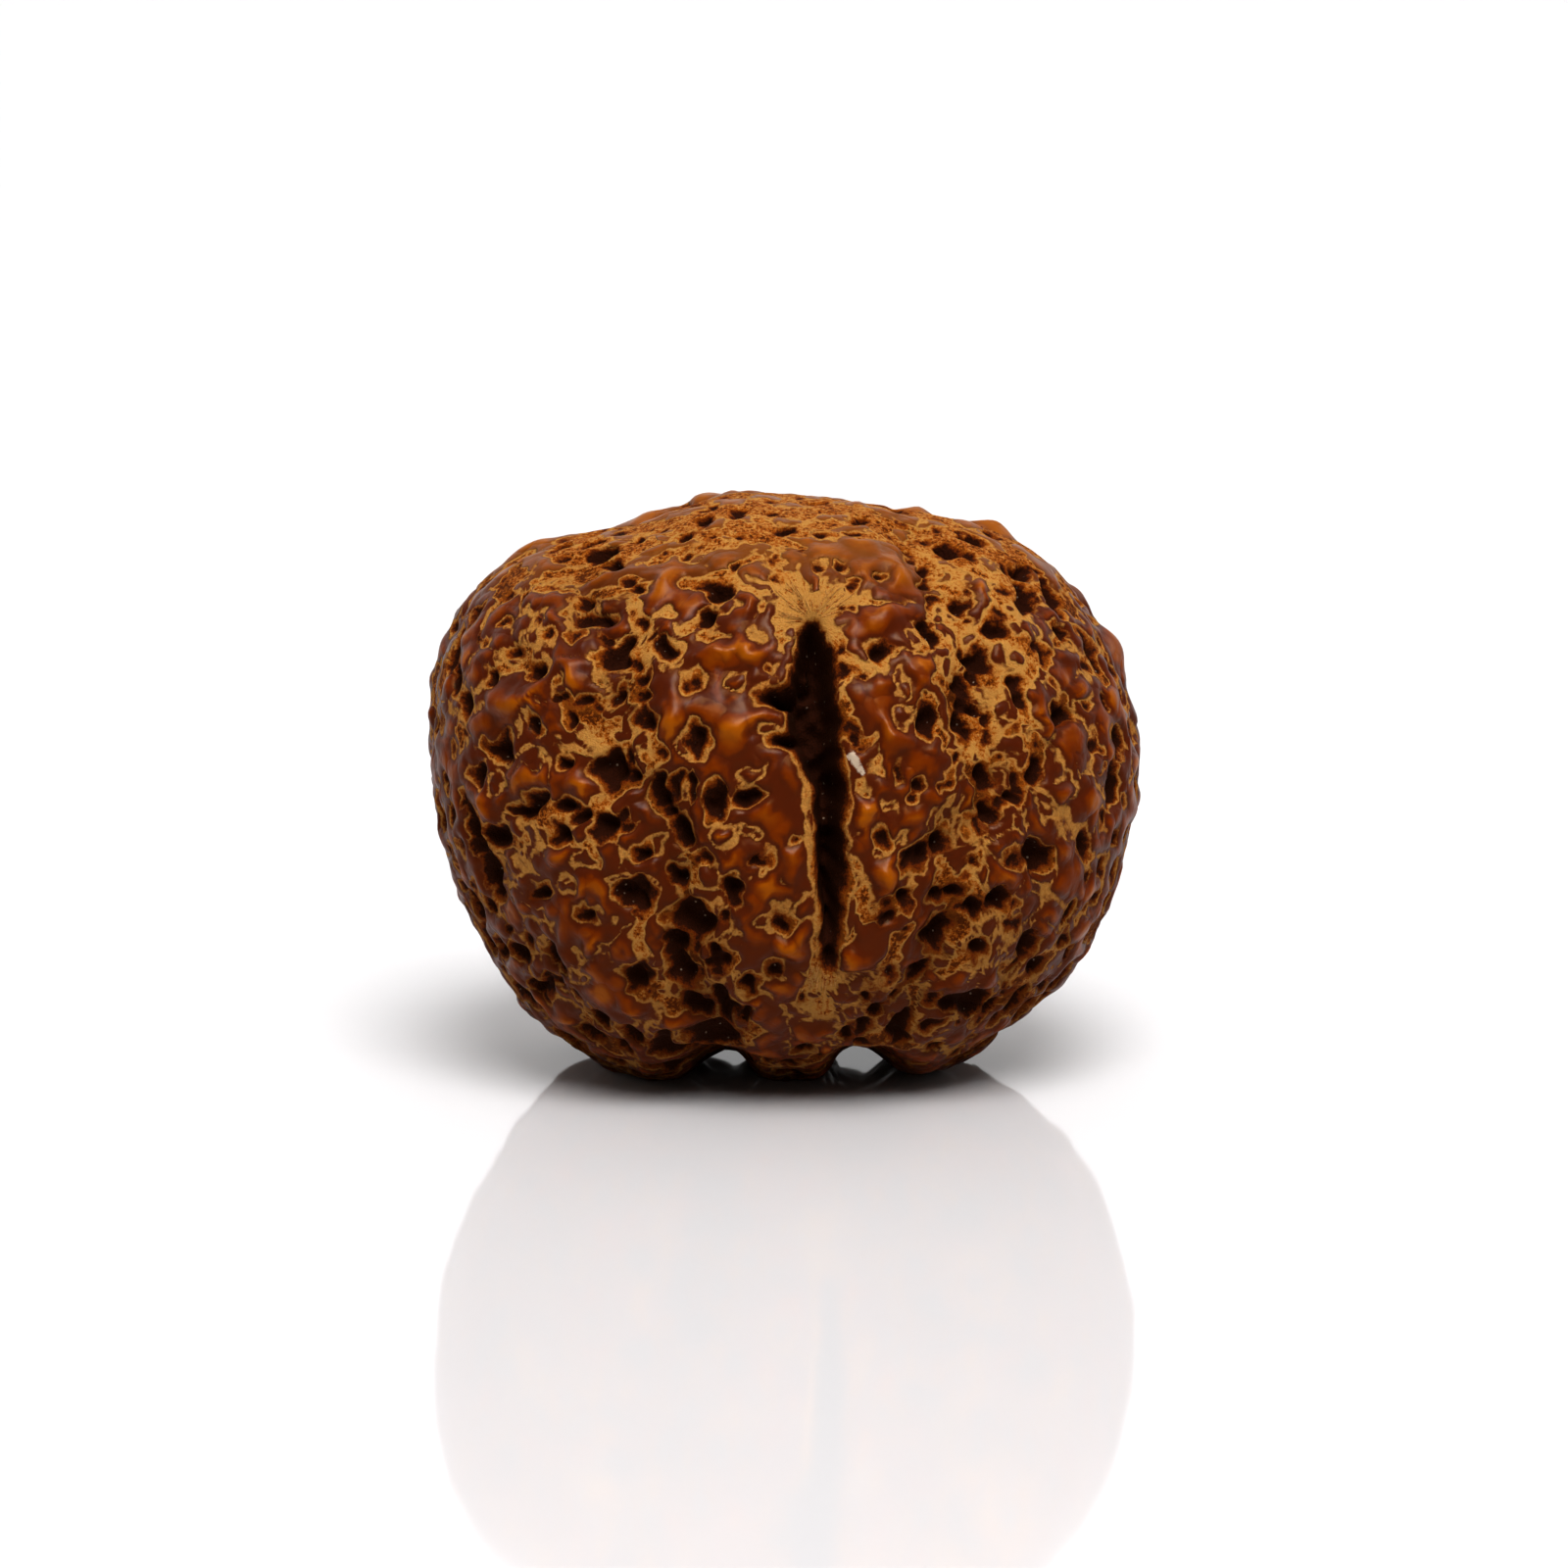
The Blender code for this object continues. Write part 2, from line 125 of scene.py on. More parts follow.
def on_front(x, y):
    """The point of the plain form that the photo shows at pixel x, y. What is nearer looks larger."""
    nearer = 1.0
    for _ in range(NEARNESS_ROUNDS):
        across = (x - MIDDLE_PX[0]) * MM_PER_PX * nearer
        up = (MIDDLE_PX[1] - y) * MM_PER_PX * nearer
        share = min(math.hypot(across, up) / reach_at(math.atan2(up, across)), LIMB)
        away = -DEPTH / 2 * (1 - share**ROUNDNESS) ** (1 / ROUNDNESS)
        nearer = 1 + away / CAMERA_DISTANCE
    return np.array([across, up, away])


def to_world(points):
    """From the camera's frame to the seed's own: right, away along the floor, and up."""
    rise, fall = math.sin(CAMERA_RISE), math.cos(CAMERA_RISE)
    across, up, away = points.T
    return np.column_stack([across, up * rise + away * fall, up * fall - away * rise + MIDDLE_HEIGHT])


def from_world(directions):
    rise, fall = math.sin(CAMERA_RISE), math.cos(CAMERA_RISE)
    across, away, up = directions.T
    return np.column_stack([across, away * rise + up * fall, away * fall - up * rise])


print("the front's middle is at", to_world(on_front(*MIDDLE_PX)[None]).round(2), "mm")

# %% [markdown]
# ## What the front shows
# The eye knows a seed by its own pits and islands, so the larger ones are placed one by one. Each row is
# a place in the picture and a half size in pixels. A noise pattern could fill the whole seed in two
# lines, but it would be some other seed. Noise is kept for the edges, and for the sides that the photo
# doesn't show.

# %% The open slot, and the pits, as (x, y, half width, half height)
SLOT_PX = [
    (827, 645, 9), (832, 665, 15), (831, 690, 20), (830, 715, 22), (833, 738, 25), (832, 758, 20),
    (838, 780, 17), (847, 800, 16), (849, 830, 13), (849, 860, 13), (849, 895, 13), (848, 917, 11),
    (848, 935, 9), (847, 953, 7), (846, 972, 5), (846, 988, 4),
]
NOTCHES_PX = [
    [(830, 703, 13), (800, 712, 9), (774, 711, 3)],
    [(830, 752, 10), (808, 756, 6), (790, 757, 3)],
]
PITS_PX = [
    # the upper left
    (588, 610, 12, 5), (603, 628, 14, 6), (618, 667, 9, 13), (632, 660, 8, 14), (612, 650, 8, 6),
    (641, 673, 6, 8), (653, 634, 7, 7), (680, 662, 10, 12),
    (654, 688, 8, 6), (649, 602, 5, 9), (732, 604, 12, 7), (722, 634, 12, 13), (548, 633, 5, 5),
    (563, 648, 6, 6), (525, 662, 8, 8), (544, 682, 9, 12), (500, 690, 6, 9), (573, 713, 8, 8),
    (597, 717, 9, 9), (584, 733, 6, 8), (545, 742, 7, 7), (505, 762, 13, 10), (578, 775, 8, 5),
    (617, 782, 15, 20), (639, 793, 8, 8), (641, 769, 6, 9), (657, 733, 10, 10), (655, 710, 6, 8),
    (625, 708, 6, 9), (711, 757, 7, 14), (706, 694, 7, 8), (738, 599, 9, 5), (621, 574, 14, 5),
    (701, 565, 5, 6),
    # the lower left
    (669, 806, 10, 16), (689, 804, 8, 11), (706, 805, 4, 15), (730, 817, 8, 18), (763, 815, 16, 9),
    (680, 829, 10, 8), (692, 848, 10, 12), (617, 845, 12, 14), (638, 840, 7, 7), (546, 818, 9, 7),
    (530, 827, 13, 7), (578, 822, 9, 9), (569, 850, 10, 8), (503, 854, 11, 8), (482, 866, 6, 6),
    (505, 910, 7, 10), (551, 908, 10, 6), (602, 933, 7, 7), (534, 979, 9, 9), (563, 979, 10, 10),
    (553, 1008, 16, 6), (653, 871, 8, 8), (686, 897, 9, 9), (648, 913, 12, 14), (745, 909, 9, 12),
    (704, 941, 18, 20), (684, 970, 9, 13), (688, 997, 10, 15), (731, 980, 10, 10), (651, 999, 9, 11),
    (646, 1056, 10, 10), (678, 1062, 7, 7), (707, 1032, 10, 14), (737, 1032, 12, 18), (728, 1064, 24, 13),
    (761, 1039, 6, 12), (791, 991, 7, 5), (776, 876, 6, 6), (800, 935, 5, 5), (811, 860, 4, 4),
    # beside the slot, on its right
    (896, 665, 11, 9), (860, 686, 6, 6), (872, 751, 8, 8), (946, 735, 9, 16), (917, 787, 5, 5),
    (937, 805, 8, 8), (900, 855, 7, 7), (942, 876, 8, 8), (966, 862, 9, 14), (926, 919, 8, 7),
    (903, 938, 7, 7),
    # the upper right
    (843, 545, 7, 5), (875, 545, 8, 3), (859, 580, 6, 6), (898, 588, 5, 5), (929, 556, 10, 9),
    (946, 573, 7, 5), (951, 590, 6, 7), (954, 609, 6, 4), (950, 643, 8, 20), (987, 566, 8, 5),
    (983, 613, 8, 8), (1044, 580, 13, 9), (1020, 639, 9, 9), (1060, 659, 9, 6), (1086, 646, 9, 6),
    (1114, 667, 6, 13), (1002, 666, 13, 9), (1010, 676, 10, 9), (990, 700, 10, 11),
    (994, 716, 9, 10), (987, 735, 10, 14), (992, 749, 8, 7), (1036, 699, 8, 11), (1041, 716, 7, 9),
    (1013, 749, 6, 8), (1088, 727, 8, 14), (978, 776, 6, 9), (1012, 794, 9, 15),
    (1015, 829, 10, 10), (1034, 817, 8, 8), (1059, 782, 9, 16), (1137, 800, 8, 22),
    (1058, 872, 12, 12), (1036, 877, 6, 6),
    # the lower right
    (982, 910, 9, 9), (957, 917, 7, 7), (1019, 918, 9, 13), (1000, 928, 7, 7), (965, 953, 9, 17),
    (1038, 945, 6, 6), (1050, 967, 9, 14), (998, 973, 8, 8), (905, 996, 8, 8), (940, 999, 9, 11),
    (961, 966, 10, 13), (884, 1020, 7, 7), (897, 1033, 7, 7), (914, 1020, 8, 5), (866, 1050, 6, 9),
    (881, 1050, 6, 8), (922, 1050, 14, 14), (977, 1025, 12, 9), (1013, 1029, 8, 8),
]
print(len(PITS_PX), "pits are placed by hand")

# %% Bare fibre where the skin is missing, as strokes of (x, y, half width)
BARE_PX = [
    # the upper left, and the chain of pits down its groove
    [(575, 617, 4), (590, 645, 5), (603, 672, 6), (611, 690, 7), (608, 705, 9)],
    [(575, 705, 10), (600, 735, 14), (625, 750, 18), (640, 790, 16), (625, 815, 16), (600, 835, 16),
     (570, 835, 14), (545, 820, 10)],
    [(640, 790, 14), (665, 770, 12), (665, 745, 8), (640, 700, 8), (625, 690, 8)],
    [(640, 680, 12), (655, 655, 12), (650, 630, 12), (640, 600, 10), (620, 600, 10), (600, 600, 10)],
    [(478, 712, 3), (478, 745, 4), (490, 770, 6), (505, 775, 6), (530, 775, 4), (545, 765, 4),
     (560, 770, 3), (580, 765, 4), (600, 760, 6)],
    [(493, 640, 5), (510, 615, 6), (540, 600, 6), (575, 600, 8)],
    [(541, 630, 3), (548, 650, 4), (562, 658, 3)],
    [(515, 655, 6), (530, 665, 8), (540, 675, 6), (500, 690, 6)],
    [(520, 820, 6), (545, 830, 10), (580, 845, 12), (600, 860, 8), (605, 880, 4)],
    [(512, 860, 6), (540, 860, 6)],
    # the crown, and the star of fibre above the slot
    [(545, 590, 7), (570, 582, 9), (600, 573, 10), (650, 560, 11), (700, 540, 12), (760, 520, 11),
     (830, 522, 12), (900, 530, 10)],
    [(640, 590, 8), (680, 568, 8), (730, 558, 10), (780, 550, 10), (820, 560, 8)],
    [(745, 590, 6), (760, 570, 6), (790, 560, 8)],
    [(700, 600, 8), (720, 590, 10), (745, 590, 8), (760, 600, 6), (790, 615, 5)],
    [(700, 640, 8), (715, 655, 6), (745, 648, 4)],
    [(680, 625, 7), (690, 628, 7)],
    [(822, 622, 22), (838, 622, 22)],
    [(783, 570, 3), (797, 585, 6), (815, 608, 12)],
    [(770, 590, 3), (790, 597, 5), (812, 612, 10)],
    [(812, 578, 2), (816, 592, 5), (822, 610, 10)],
    [(842, 572, 3), (838, 588, 6), (832, 610, 12)],
    [(868, 585, 3), (856, 598, 6), (842, 612, 12)],
    [(773, 632, 5), (779, 633, 3)],
    [(803, 620, 10), (799, 645, 7), (797, 665, 4), (795, 690, 4), (780, 700, 4), (770, 705, 4)],
    [(840, 615, 14), (850, 610, 12), (885, 612, 6), (915, 612, 3)],
    [(850, 640, 10), (862, 665, 8), (870, 690, 6)],
    # round the slot
    [(850, 660, 8), (862, 690, 10), (866, 715, 8), (860, 745, 6)],
    [(865, 680, 8), (900, 680, 6), (930, 665, 4), (945, 660, 6)],
    [(840, 992, 10), (840, 1006, 17), (838, 1025, 9), (838, 1034, 7)],
    [(875, 885, 5), (880, 915, 10), (885, 935, 10), (870, 955, 6), (857, 965, 4), (854, 990, 4),
     (862, 1010, 3), (880, 1010, 3)],
    [(890, 940, 8), (905, 930, 6), (920, 925, 4), (935, 905, 4)],
    # the net of the upper right
    [(925, 545, 8), (945, 560, 12), (965, 585, 17), (970, 620, 22), (975, 650, 20), (985, 690, 22),
     (990, 730, 20), (1000, 760, 17), (1005, 800, 15), (1005, 830, 12)],
    [(985, 570, 14), (1010, 600, 18), (1036, 592, 20), (1018, 640, 18), (1052, 665, 12), (1040, 700, 16),
     (1046, 730, 9), (1036, 765, 7), (1020, 780, 8)],
    [(1060, 662, 6), (1078, 652, 7), (1090, 655, 6), (1100, 668, 4), (1116, 672, 6)],
    [(1050, 700, 5), (1068, 700, 3), (1080, 716, 5), (1078, 745, 4), (1066, 772, 6), (1060, 800, 5)],
    [(1012, 655, 7), (1014, 690, 9), (1018, 720, 8), (1022, 745, 7), (1028, 775, 7), (1043, 798, 5)],
    [(1034, 662, 8), (1034, 690, 9), (1052, 740, 6), (1044, 758, 6), (1057, 772, 6)],
    [(884, 750, 6), (890, 768, 6), (889, 788, 8), (884, 806, 7)],
    [(960, 655, 8), (952, 690, 6), (950, 720, 8), (965, 745, 8), (972, 790, 4), (970, 812, 3),
     (962, 845, 4), (950, 862, 8), (940, 880, 8), (930, 900, 6), (915, 920, 6), (900, 935, 8)],
    [(985, 790, 3), (983, 830, 3), (995, 850, 4), (1005, 835, 5), (1000, 790, 4)],
    # the lower right
    [(1035, 845, 3), (1010, 860, 3), (995, 880, 8), (975, 890, 12), (960, 900, 10), (985, 905, 12),
     (1010, 920, 12), (1030, 930, 8), (1040, 950, 6)],
    [(975, 930, 14), (985, 960, 14), (1000, 975, 12), (975, 985, 10), (960, 1000, 8), (945, 1020, 10),
     (930, 1050, 14), (905, 1060, 12), (880, 1070, 8)],
    [(920, 960, 12), (905, 985, 10), (920, 1010, 8), (940, 1010, 8)],
    # the lower left
    [(700, 880, 10), (715, 900, 10)],
    [(750, 890, 5), (765, 900, 4), (790, 880, 3), (795, 900, 3)],
    [(660, 930, 10), (650, 950, 8), (655, 985, 8), (670, 1020, 12), (690, 1035, 10)],
    [(630, 935, 4), (620, 950, 3)],
    [(700, 905, 10), (690, 950, 8), (710, 990, 10), (725, 1010, 8), (745, 1000, 8), (750, 960, 6),
     (740, 930, 6), (750, 915, 6)],
    [(585, 1010, 6), (600, 1035, 5)],
    [(640, 1045, 5), (660, 1065, 6), (680, 1075, 6), (690, 1060, 5)],
    [(760, 1055, 6), (775, 1050, 6), (765, 1070, 5)],
    [(770, 1005, 3), (790, 1020, 3), (800, 1035, 3)],
]
SLOT_EDGES_PX = [  # these two run nearly straight beside the slot
    [(812, 772, 3), (821, 800, 3), (824, 840, 3), (827, 882, 3), (832, 920, 3), (832, 960, 4),
     (833, 990, 6)],
    [(866, 790, 3), (866, 820, 3), (866, 870, 3), (862, 915, 3)],
]
print(len(BARE_PX) + len(SLOT_EDGES_PX), "strokes of bare fibre")

# %% Raised blisters, and small islands of skin in the fibre, as (x, y, half width, half height)
BLISTERS_PX = [
    (527, 635, 26, 14), (564, 628, 14, 12), (519, 717, 38, 18), (580, 684, 16, 16), (522, 794, 18, 16),
    (561, 793, 18, 16), (592, 801, 12, 14), (520, 883, 18, 15), (570, 877, 22, 14), (590, 910, 18, 15),
    (609, 970, 16, 16), (648, 1028, 16, 12), (682, 595, 18, 18), (636, 622, 12, 11), (733, 662, 22, 18),
    (765, 662, 18, 18), (773, 616, 24, 20), (690, 735, 18, 26), (759, 742, 30, 18), (768, 788, 26, 16),
    (742, 852, 26, 16), (803, 880, 16, 32), (806, 962, 22, 22), (764, 1023, 18, 14), (912, 580, 26, 22),
    (897, 629, 26, 18), (924, 693, 40, 16), (914, 750, 22, 30), (880, 829, 16, 16), (905, 895, 22, 28),
    (871, 979, 18, 16), (1003, 601, 10, 14), (1057, 630, 28, 14), (1100, 702, 20, 14), (1064, 740, 14, 20),
    (992, 819, 8, 28), (1015, 872, 20, 20), (1050, 908, 16, 18), (1078, 811, 20, 16), (1090, 850, 20, 20),
    (498, 815, 14, 24), (885, 560, 22, 14), (835, 1065, 16, 26),
]
OUTLINE_LUMPS_PX = [  # blisters that stand out against the background, as (x, y, half width, height in mm)
    (540, 553, 34, 0.45), (1018, 530, 28, 1.0), (1142, 655, 34, 0.35), (722, 503, 34, 0.8),
    (935, 512, 34, 0.8), (1104, 992, 30, 0.5), (660, 523, 34, 0.4),
]
ISLANDS_PX = [
    (633, 737, 5, 11), (639, 817, 14, 7), (592, 844, 8, 11), (1003, 601, 8, 12), (969, 624, 6, 7),
    (975, 643, 6, 10), (971, 674, 5, 10), (1038, 670, 5, 9), (1021, 727, 5, 10), (1032, 760, 10, 12),
    (1000, 768, 3, 7), (967, 586, 6, 5), (992, 819, 6, 24), (921, 1001, 4, 9), (494, 819, 12, 25),
    (829, 590, 3, 14), (803, 577, 4, 9), (852, 583, 4, 9), (835, 1012, 2, 9), (847, 1016, 2, 8),
]
RINGS_PX = [  # where a thin bare line closes round a piece of skin
    (711, 757, 11, 18), (706, 694, 11, 12), (732, 943, 11, 19), (724, 895, 11, 16), (783, 942, 9, 9),
    (800, 935, 10, 10), (908, 824, 9, 9), (811, 860, 8, 8), (657, 659, 11, 18), (749, 698, 11, 9),
    (896, 875, 8, 7), (925, 850, 7, 8), (765, 850, 9, 7), (560, 655, 8, 8),
]
PALE_PX = [  # where the bare fibre is palest
    (830, 618, 55, 34), (770, 595, 40, 18), (950, 580, 44, 44), (1035, 615, 44, 40),
    (985, 650, 36, 50), (1045, 690, 26, 40), (625, 770, 34, 30), (600, 835, 40, 22),
    (660, 640, 40, 40), (975, 892, 30, 16), (838, 1008, 16, 26),
    (1003, 740, 22, 40), (990, 975, 30, 26), (720, 900, 22, 16), (660, 960, 20, 50), (880, 690, 30, 24),
]
CRUMB_PX = [(869, 772, 4.5), (874, 780, 3.5), (880, 789, 2.5)]  # a pale crumb, stuck beside the slot
print(len(BLISTERS_PX), "blisters,", len(ISLANDS_PX), "islands and", len(RINGS_PX), "ringed places")

# %% The grooves, from top to base, and round the back in degrees from the slot to its right
FRONT_GROOVES_PX = [
    [(585, 580), (600, 610), (640, 660), (625, 780), (680, 830), (690, 900), (700, 1000), (722, 1050)],
    [(929, 540), (951, 600), (997, 664), (992, 715), (1014, 795), (966, 862), (965, 950), (930, 1030)],
    [(520, 620), (530, 690), (505, 765), (530, 827), (505, 905), (560, 985), (600, 1050)],
    [(1040, 590), (1095, 720), (1058, 785), (1058, 872), (1050, 960), (1010, 1030)],
]
OUTER_GROOVES = (2, 3)  # of the four on the front, these two are shallow
OUTER_GROOVES_WEAKER = 0.9
BACK_GROOVES = (87, 111, 135, 160, 197, 234, 271)
GROOVE_POLES = 72  # degrees up and down at which those grooves run out
GROOVE_SWAY = 5
GROOVE_BENDS = 2.3
GROOVE_POINTS = 13
ARCHES_PX = (737, 879)  # the two deep grooves that run on under the seed: x where they meet the floor
ARCH_REACH = 9.5  # how far they run to the front and to the back
ARCH_RADIUS = 11.5
ARCH_FLATNESS = 0.9
ARCH_POINTS = 9


def back_groove(degrees):
    """A groove from pole to pole that wanders a little, on the sides and the back."""
    heights = np.radians(np.linspace(-GROOVE_POLES, GROOVE_POLES, GROOVE_POINTS))
    turns = np.radians(degrees + GROOVE_SWAY * np.sin(GROOVE_BENDS * heights + degrees))
    flat = np.cos(heights)
    line = np.column_stack([np.sin(turns) * flat, -np.cos(turns) * flat, np.sin(heights)])
    return list(plain_form(unit(from_world(line))))


def arch(x):
    """A groove under the seed, from its lower front to its lower back."""
    across = (x - MIDDLE_PX[0]) * MM_PER_PX
    away = np.linspace(-ARCH_REACH, ARCH_REACH, ARCH_POINTS)
    down = np.sqrt(ARCH_RADIUS**2 - away**2 * ARCH_FLATNESS)
    line = np.column_stack([np.full(ARCH_POINTS, across), away, -down])
    return list(plain_form(unit(from_world(line))))


print(len(FRONT_GROOVES_PX) + len(BACK_GROOVES) + 1, "grooves with the slot")

# %% [markdown]
# ## Measuring distances on the seed
# Everything on this seed follows from how far a point is from the nearest edge: the polish ends there,
# the rim of a pit is a thin bright line along it, and the colour deepens away from it. A signed distance
# says all of that in one number, above zero on one side and below it on the other. So each kind of
# feature gets its distance in millimetres, and both the shape and the colours are read from the same few
# numbers.

# %% Distances to ovals and strokes
FAR = 9.0
CLOSE = 1.2  # no shape or colour asks how far an oval is beyond this distance
TINY = 1e-6  # keeps the middle of an oval from a division by zero
LEAST_FACING = 0.5  # a spot on the limb is drawn out by two at most
RIPPLE_PACES = (0.7, 1.4)  # the waves of a ripple differ this much in length


def smooth_step(values, low, high):
    share = np.clip((values - low) / (high - low), 0, 1)
    return share * share * (3 - 2 * share)


def ripple(points, size, seed, waves=32):
    """A soft random wave about zero, its bumps about size across."""
    random = np.random.default_rng(seed)
    heading = unit(random.normal(size=(waves, 3)))
    pace = math.tau / (2 * size) * random.uniform(*RIPPLE_PACES, waves)
    start = random.uniform(0, math.tau, waves)
    return np.cos(points @ (heading * pace[:, None]).T + start).sum(axis=1) * math.sqrt(2 / waves)


def spot(middle, half_width, half_height, turn=0.0):
    """An oval on the surface: its middle, its axes as vectors to measure with, and its radius."""
    out = unit(middle)
    right = unit(np.cross(out, (0, 1, 0)))
    up = np.cross(right, out)
    along = right * math.cos(turn) + up * math.sin(turn)
    across = up * math.cos(turn) - right * math.sin(turn)
    radius = max(half_width, half_height)
    return middle, (along / half_width, across / half_height, out / radius), radius


def front_spot(x, y, half_width_px, half_height_px):
    """A spot at a photo pixel, made larger where the surface turns away from the camera."""
    middle = on_front(x, y)
    out = unit(middle)
    sideways = max(math.hypot(out[1], out[2]), LEAST_FACING)
    upwards = max(math.hypot(out[0], out[2]), LEAST_FACING)
    return spot(middle, half_width_px * MM_PER_PX / sideways, half_height_px * MM_PER_PX / upwards)


def front_spots(rows):
    return [front_spot(*row) for row in rows]


def near_each(points, spots):
    """For each spot the points near it, how they lie from its middle, and how many of its radii away."""
    for middle, axes, radius in spots:
        beside = np.abs(points[:, 0] - middle[0]) < radius + CLOSE
        close = np.flatnonzero(beside & (np.abs(points[:, 1] - middle[1]) < radius + CLOSE))
        gap = points[close] - middle
        yield close, gap, np.sqrt(sum((gap @ axis) ** 2 for axis in axes))


def oval_gap(points, spots):
    """How far each point is outside the nearest spot's edge, and minus that inside one."""
    nearest = np.full(len(points), FAR)
    for close, gap, share in near_each(points, spots):
        outside = (1 - 1 / (share + TINY)) * np.linalg.norm(gap, axis=1)
        nearest[close] = np.minimum(nearest[close], outside)
    return nearest


def crease_gap(points, spots):
    """How far each point is from the crease between the two blisters nearest to it."""
    nearest = np.full(len(points), FAR)
    second = np.full(len(points), FAR)
    for close, _, share in near_each(points, spots):
        second[close] = np.minimum(second[close], np.maximum(share, nearest[close]))
        nearest[close] = np.minimum(nearest[close], share)
    return 0.5 * (second - nearest)


def line_gap(points, places, half_widths):
    """How far each point is outside a band that follows a line of places."""
    nearest = np.full(len(points), FAR)
    for start, end, first, last in zip(places, places[1:], half_widths, half_widths[1:]):
        step = end - start
        along = np.clip((points - start) @ step / (step @ step), 0, 1)
        gap = np.linalg.norm(points - start - along[:, None] * step, axis=1)
        nearest = np.minimum(nearest, gap - first - (last - first) * along)
    return nearest


def strokes_gap(points, strokes):
    """How far each point is outside the nearest of the strokes read off the photo."""
    nearest = np.full(len(points), FAR)
    for stroke in strokes:
        places = [on_front(x, y) for x, y, _ in stroke]
        half_widths = [half * MM_PER_PX for _, _, half in stroke]
        nearest = np.minimum(nearest, line_gap(points, places, half_widths))
    return nearest


# %% [markdown]
# ## The sides and the back
# The photo shows one side only. A real seed has the same pits, blisters and bare grooves all round, so
# the rest is strewn with them at random, at the density and in the sizes that the front shows. A dart is
# thrown at the form again and again, and it stays only if no other is too near. That spreads the places
# evenly without a pattern.

# %% Places strewn over the rest
SEED = 12
FRONT_DEPTHS = (-8.0, -7.0)  # nearer to the camera than these, features are listed one by one
FRONT_TOP = (8.8, 9.8)  # but above these heights in the picture they are strewn again
CROWN_HEIGHTS = (6.2, 9.0)  # the pale top of the seed sets in between these
CROWN_DEPTHS = (1.0, 5.0)  # and fades out between these
CENTRE_MIDDLE = 0.5
CENTRE_HALF_WIDTHS = (5.0, 6.0)  # of the two panels beside the slot
CENTRE_BASE = (-7.5, -5.5)
CENTRE_TOP = (7.8, 9.2)
PIT_SPACING = 1.12
PIT_RADII = (0.16, 0.62)
STRETCH = (0.8, 1.7)  # how much higher than wide a pit is
MOST_TURN = 0.8
CROWN_PITS = 0.8  # the share of their size elsewhere that pits have on the crown
SMALL_PITS = (0.11, 0.24)
BARE_REACH = 0.2  # small pits lie in bare fibre, or no further from it than this
FRONT_EXTRA_PITS = 0.8  # the share of them that stay between the listed ones
RING_SHARE = 0.25
RING_RADII = (0.28, 0.48)  # of the small closed lines on the front's skin
BLISTER_SPACING = 1.5
BLISTER_RADII = (0.7, 1.5)
STREWN_HEIGHTS = (0.10, 0.30)
FRONT_LOWER = 0.5  # strewn blisters are this much lower between the listed ones
BLISTER_RISE = 0.55  # height over half width, for the listed blisters
MOST_RISE = 0.42


def strewn(spacing, seed, tries=14000):
    """Places spread over the whole form, none nearer to another than spacing."""
    random = np.random.default_rng(seed)
    thrown = plain_form(unit(random.normal(size=(tries, 3))))
    found = np.empty_like(thrown)
    count = 0
    for place in thrown:
        if not count or ((found[:count] - place) ** 2).sum(axis=1).min() > spacing**2:
            found[count] = place
            count += 1
    return found[:count]


def between_two(ends, share):
    low, high = ends
    return low + (high - low) * share


def front_share(points):
    """1 where the photo shows the surface well, 0 on the sides, the crown and the back."""
    in_front = 1 - smooth_step(points[:, 2], *FRONT_DEPTHS)
    return in_front * (1 - smooth_step(points[:, 1], *FRONT_TOP))


def crown_share(points):
    """1 on the pale top of the seed."""
    return smooth_step(points[:, 1], *CROWN_HEIGHTS) * (1 - smooth_step(points[:, 2], *CROWN_DEPTHS))


def centre_share(points):
    """1 on the two panels beside the slot, where every bare line is listed, and 0 further out."""
    beside = 1 - smooth_step(np.abs(points[:, 0] - CENTRE_MIDDLE), *CENTRE_HALF_WIDTHS)
    below_crown = 1 - smooth_step(points[:, 1], *CENTRE_TOP)
    return front_share(points) * beside * below_crown * smooth_step(points[:, 1], *CENTRE_BASE)


pits = front_spots(PITS_PX)
rings = front_spots(RINGS_PX)
places = strewn(PIT_SPACING, SEED)
rolls = np.random.default_rng(SEED).random((len(places), 3))
extra_rolls = np.random.default_rng(SEED + 40).random((len(places), 5))
seen = front_share(places)
on_crown = crown_share(places)
to_bare = strokes_gap(places, BARE_PX)
for k, place in enumerate(places):
    size, stretch, tilt = rolls[k]
    kept, pit_size, pit_stretch, ring_width, ring_height = extra_rolls[k]
    turn = (2 * tilt - 1) * MOST_TURN
    if seen[k] < 0.5:
        wide = between_two(PIT_RADII, size**2) * (1 - (1 - CROWN_PITS) * on_crown[k])
        pits.append(spot(place, wide, wide * between_two(STRETCH, stretch), turn))
    elif to_bare[k] < BARE_REACH and kept < FRONT_EXTRA_PITS:
        wide = between_two(SMALL_PITS, pit_size)
        pits.append(spot(place, wide, wide * between_two(STRETCH, pit_stretch), turn))
    elif kept < RING_SHARE:
        wide = between_two(RING_RADII, ring_width)
        rings.append(spot(place, wide, between_two(RING_RADII, ring_height), turn))
print(len(pits), "pits and", len(rings), "rings in all")
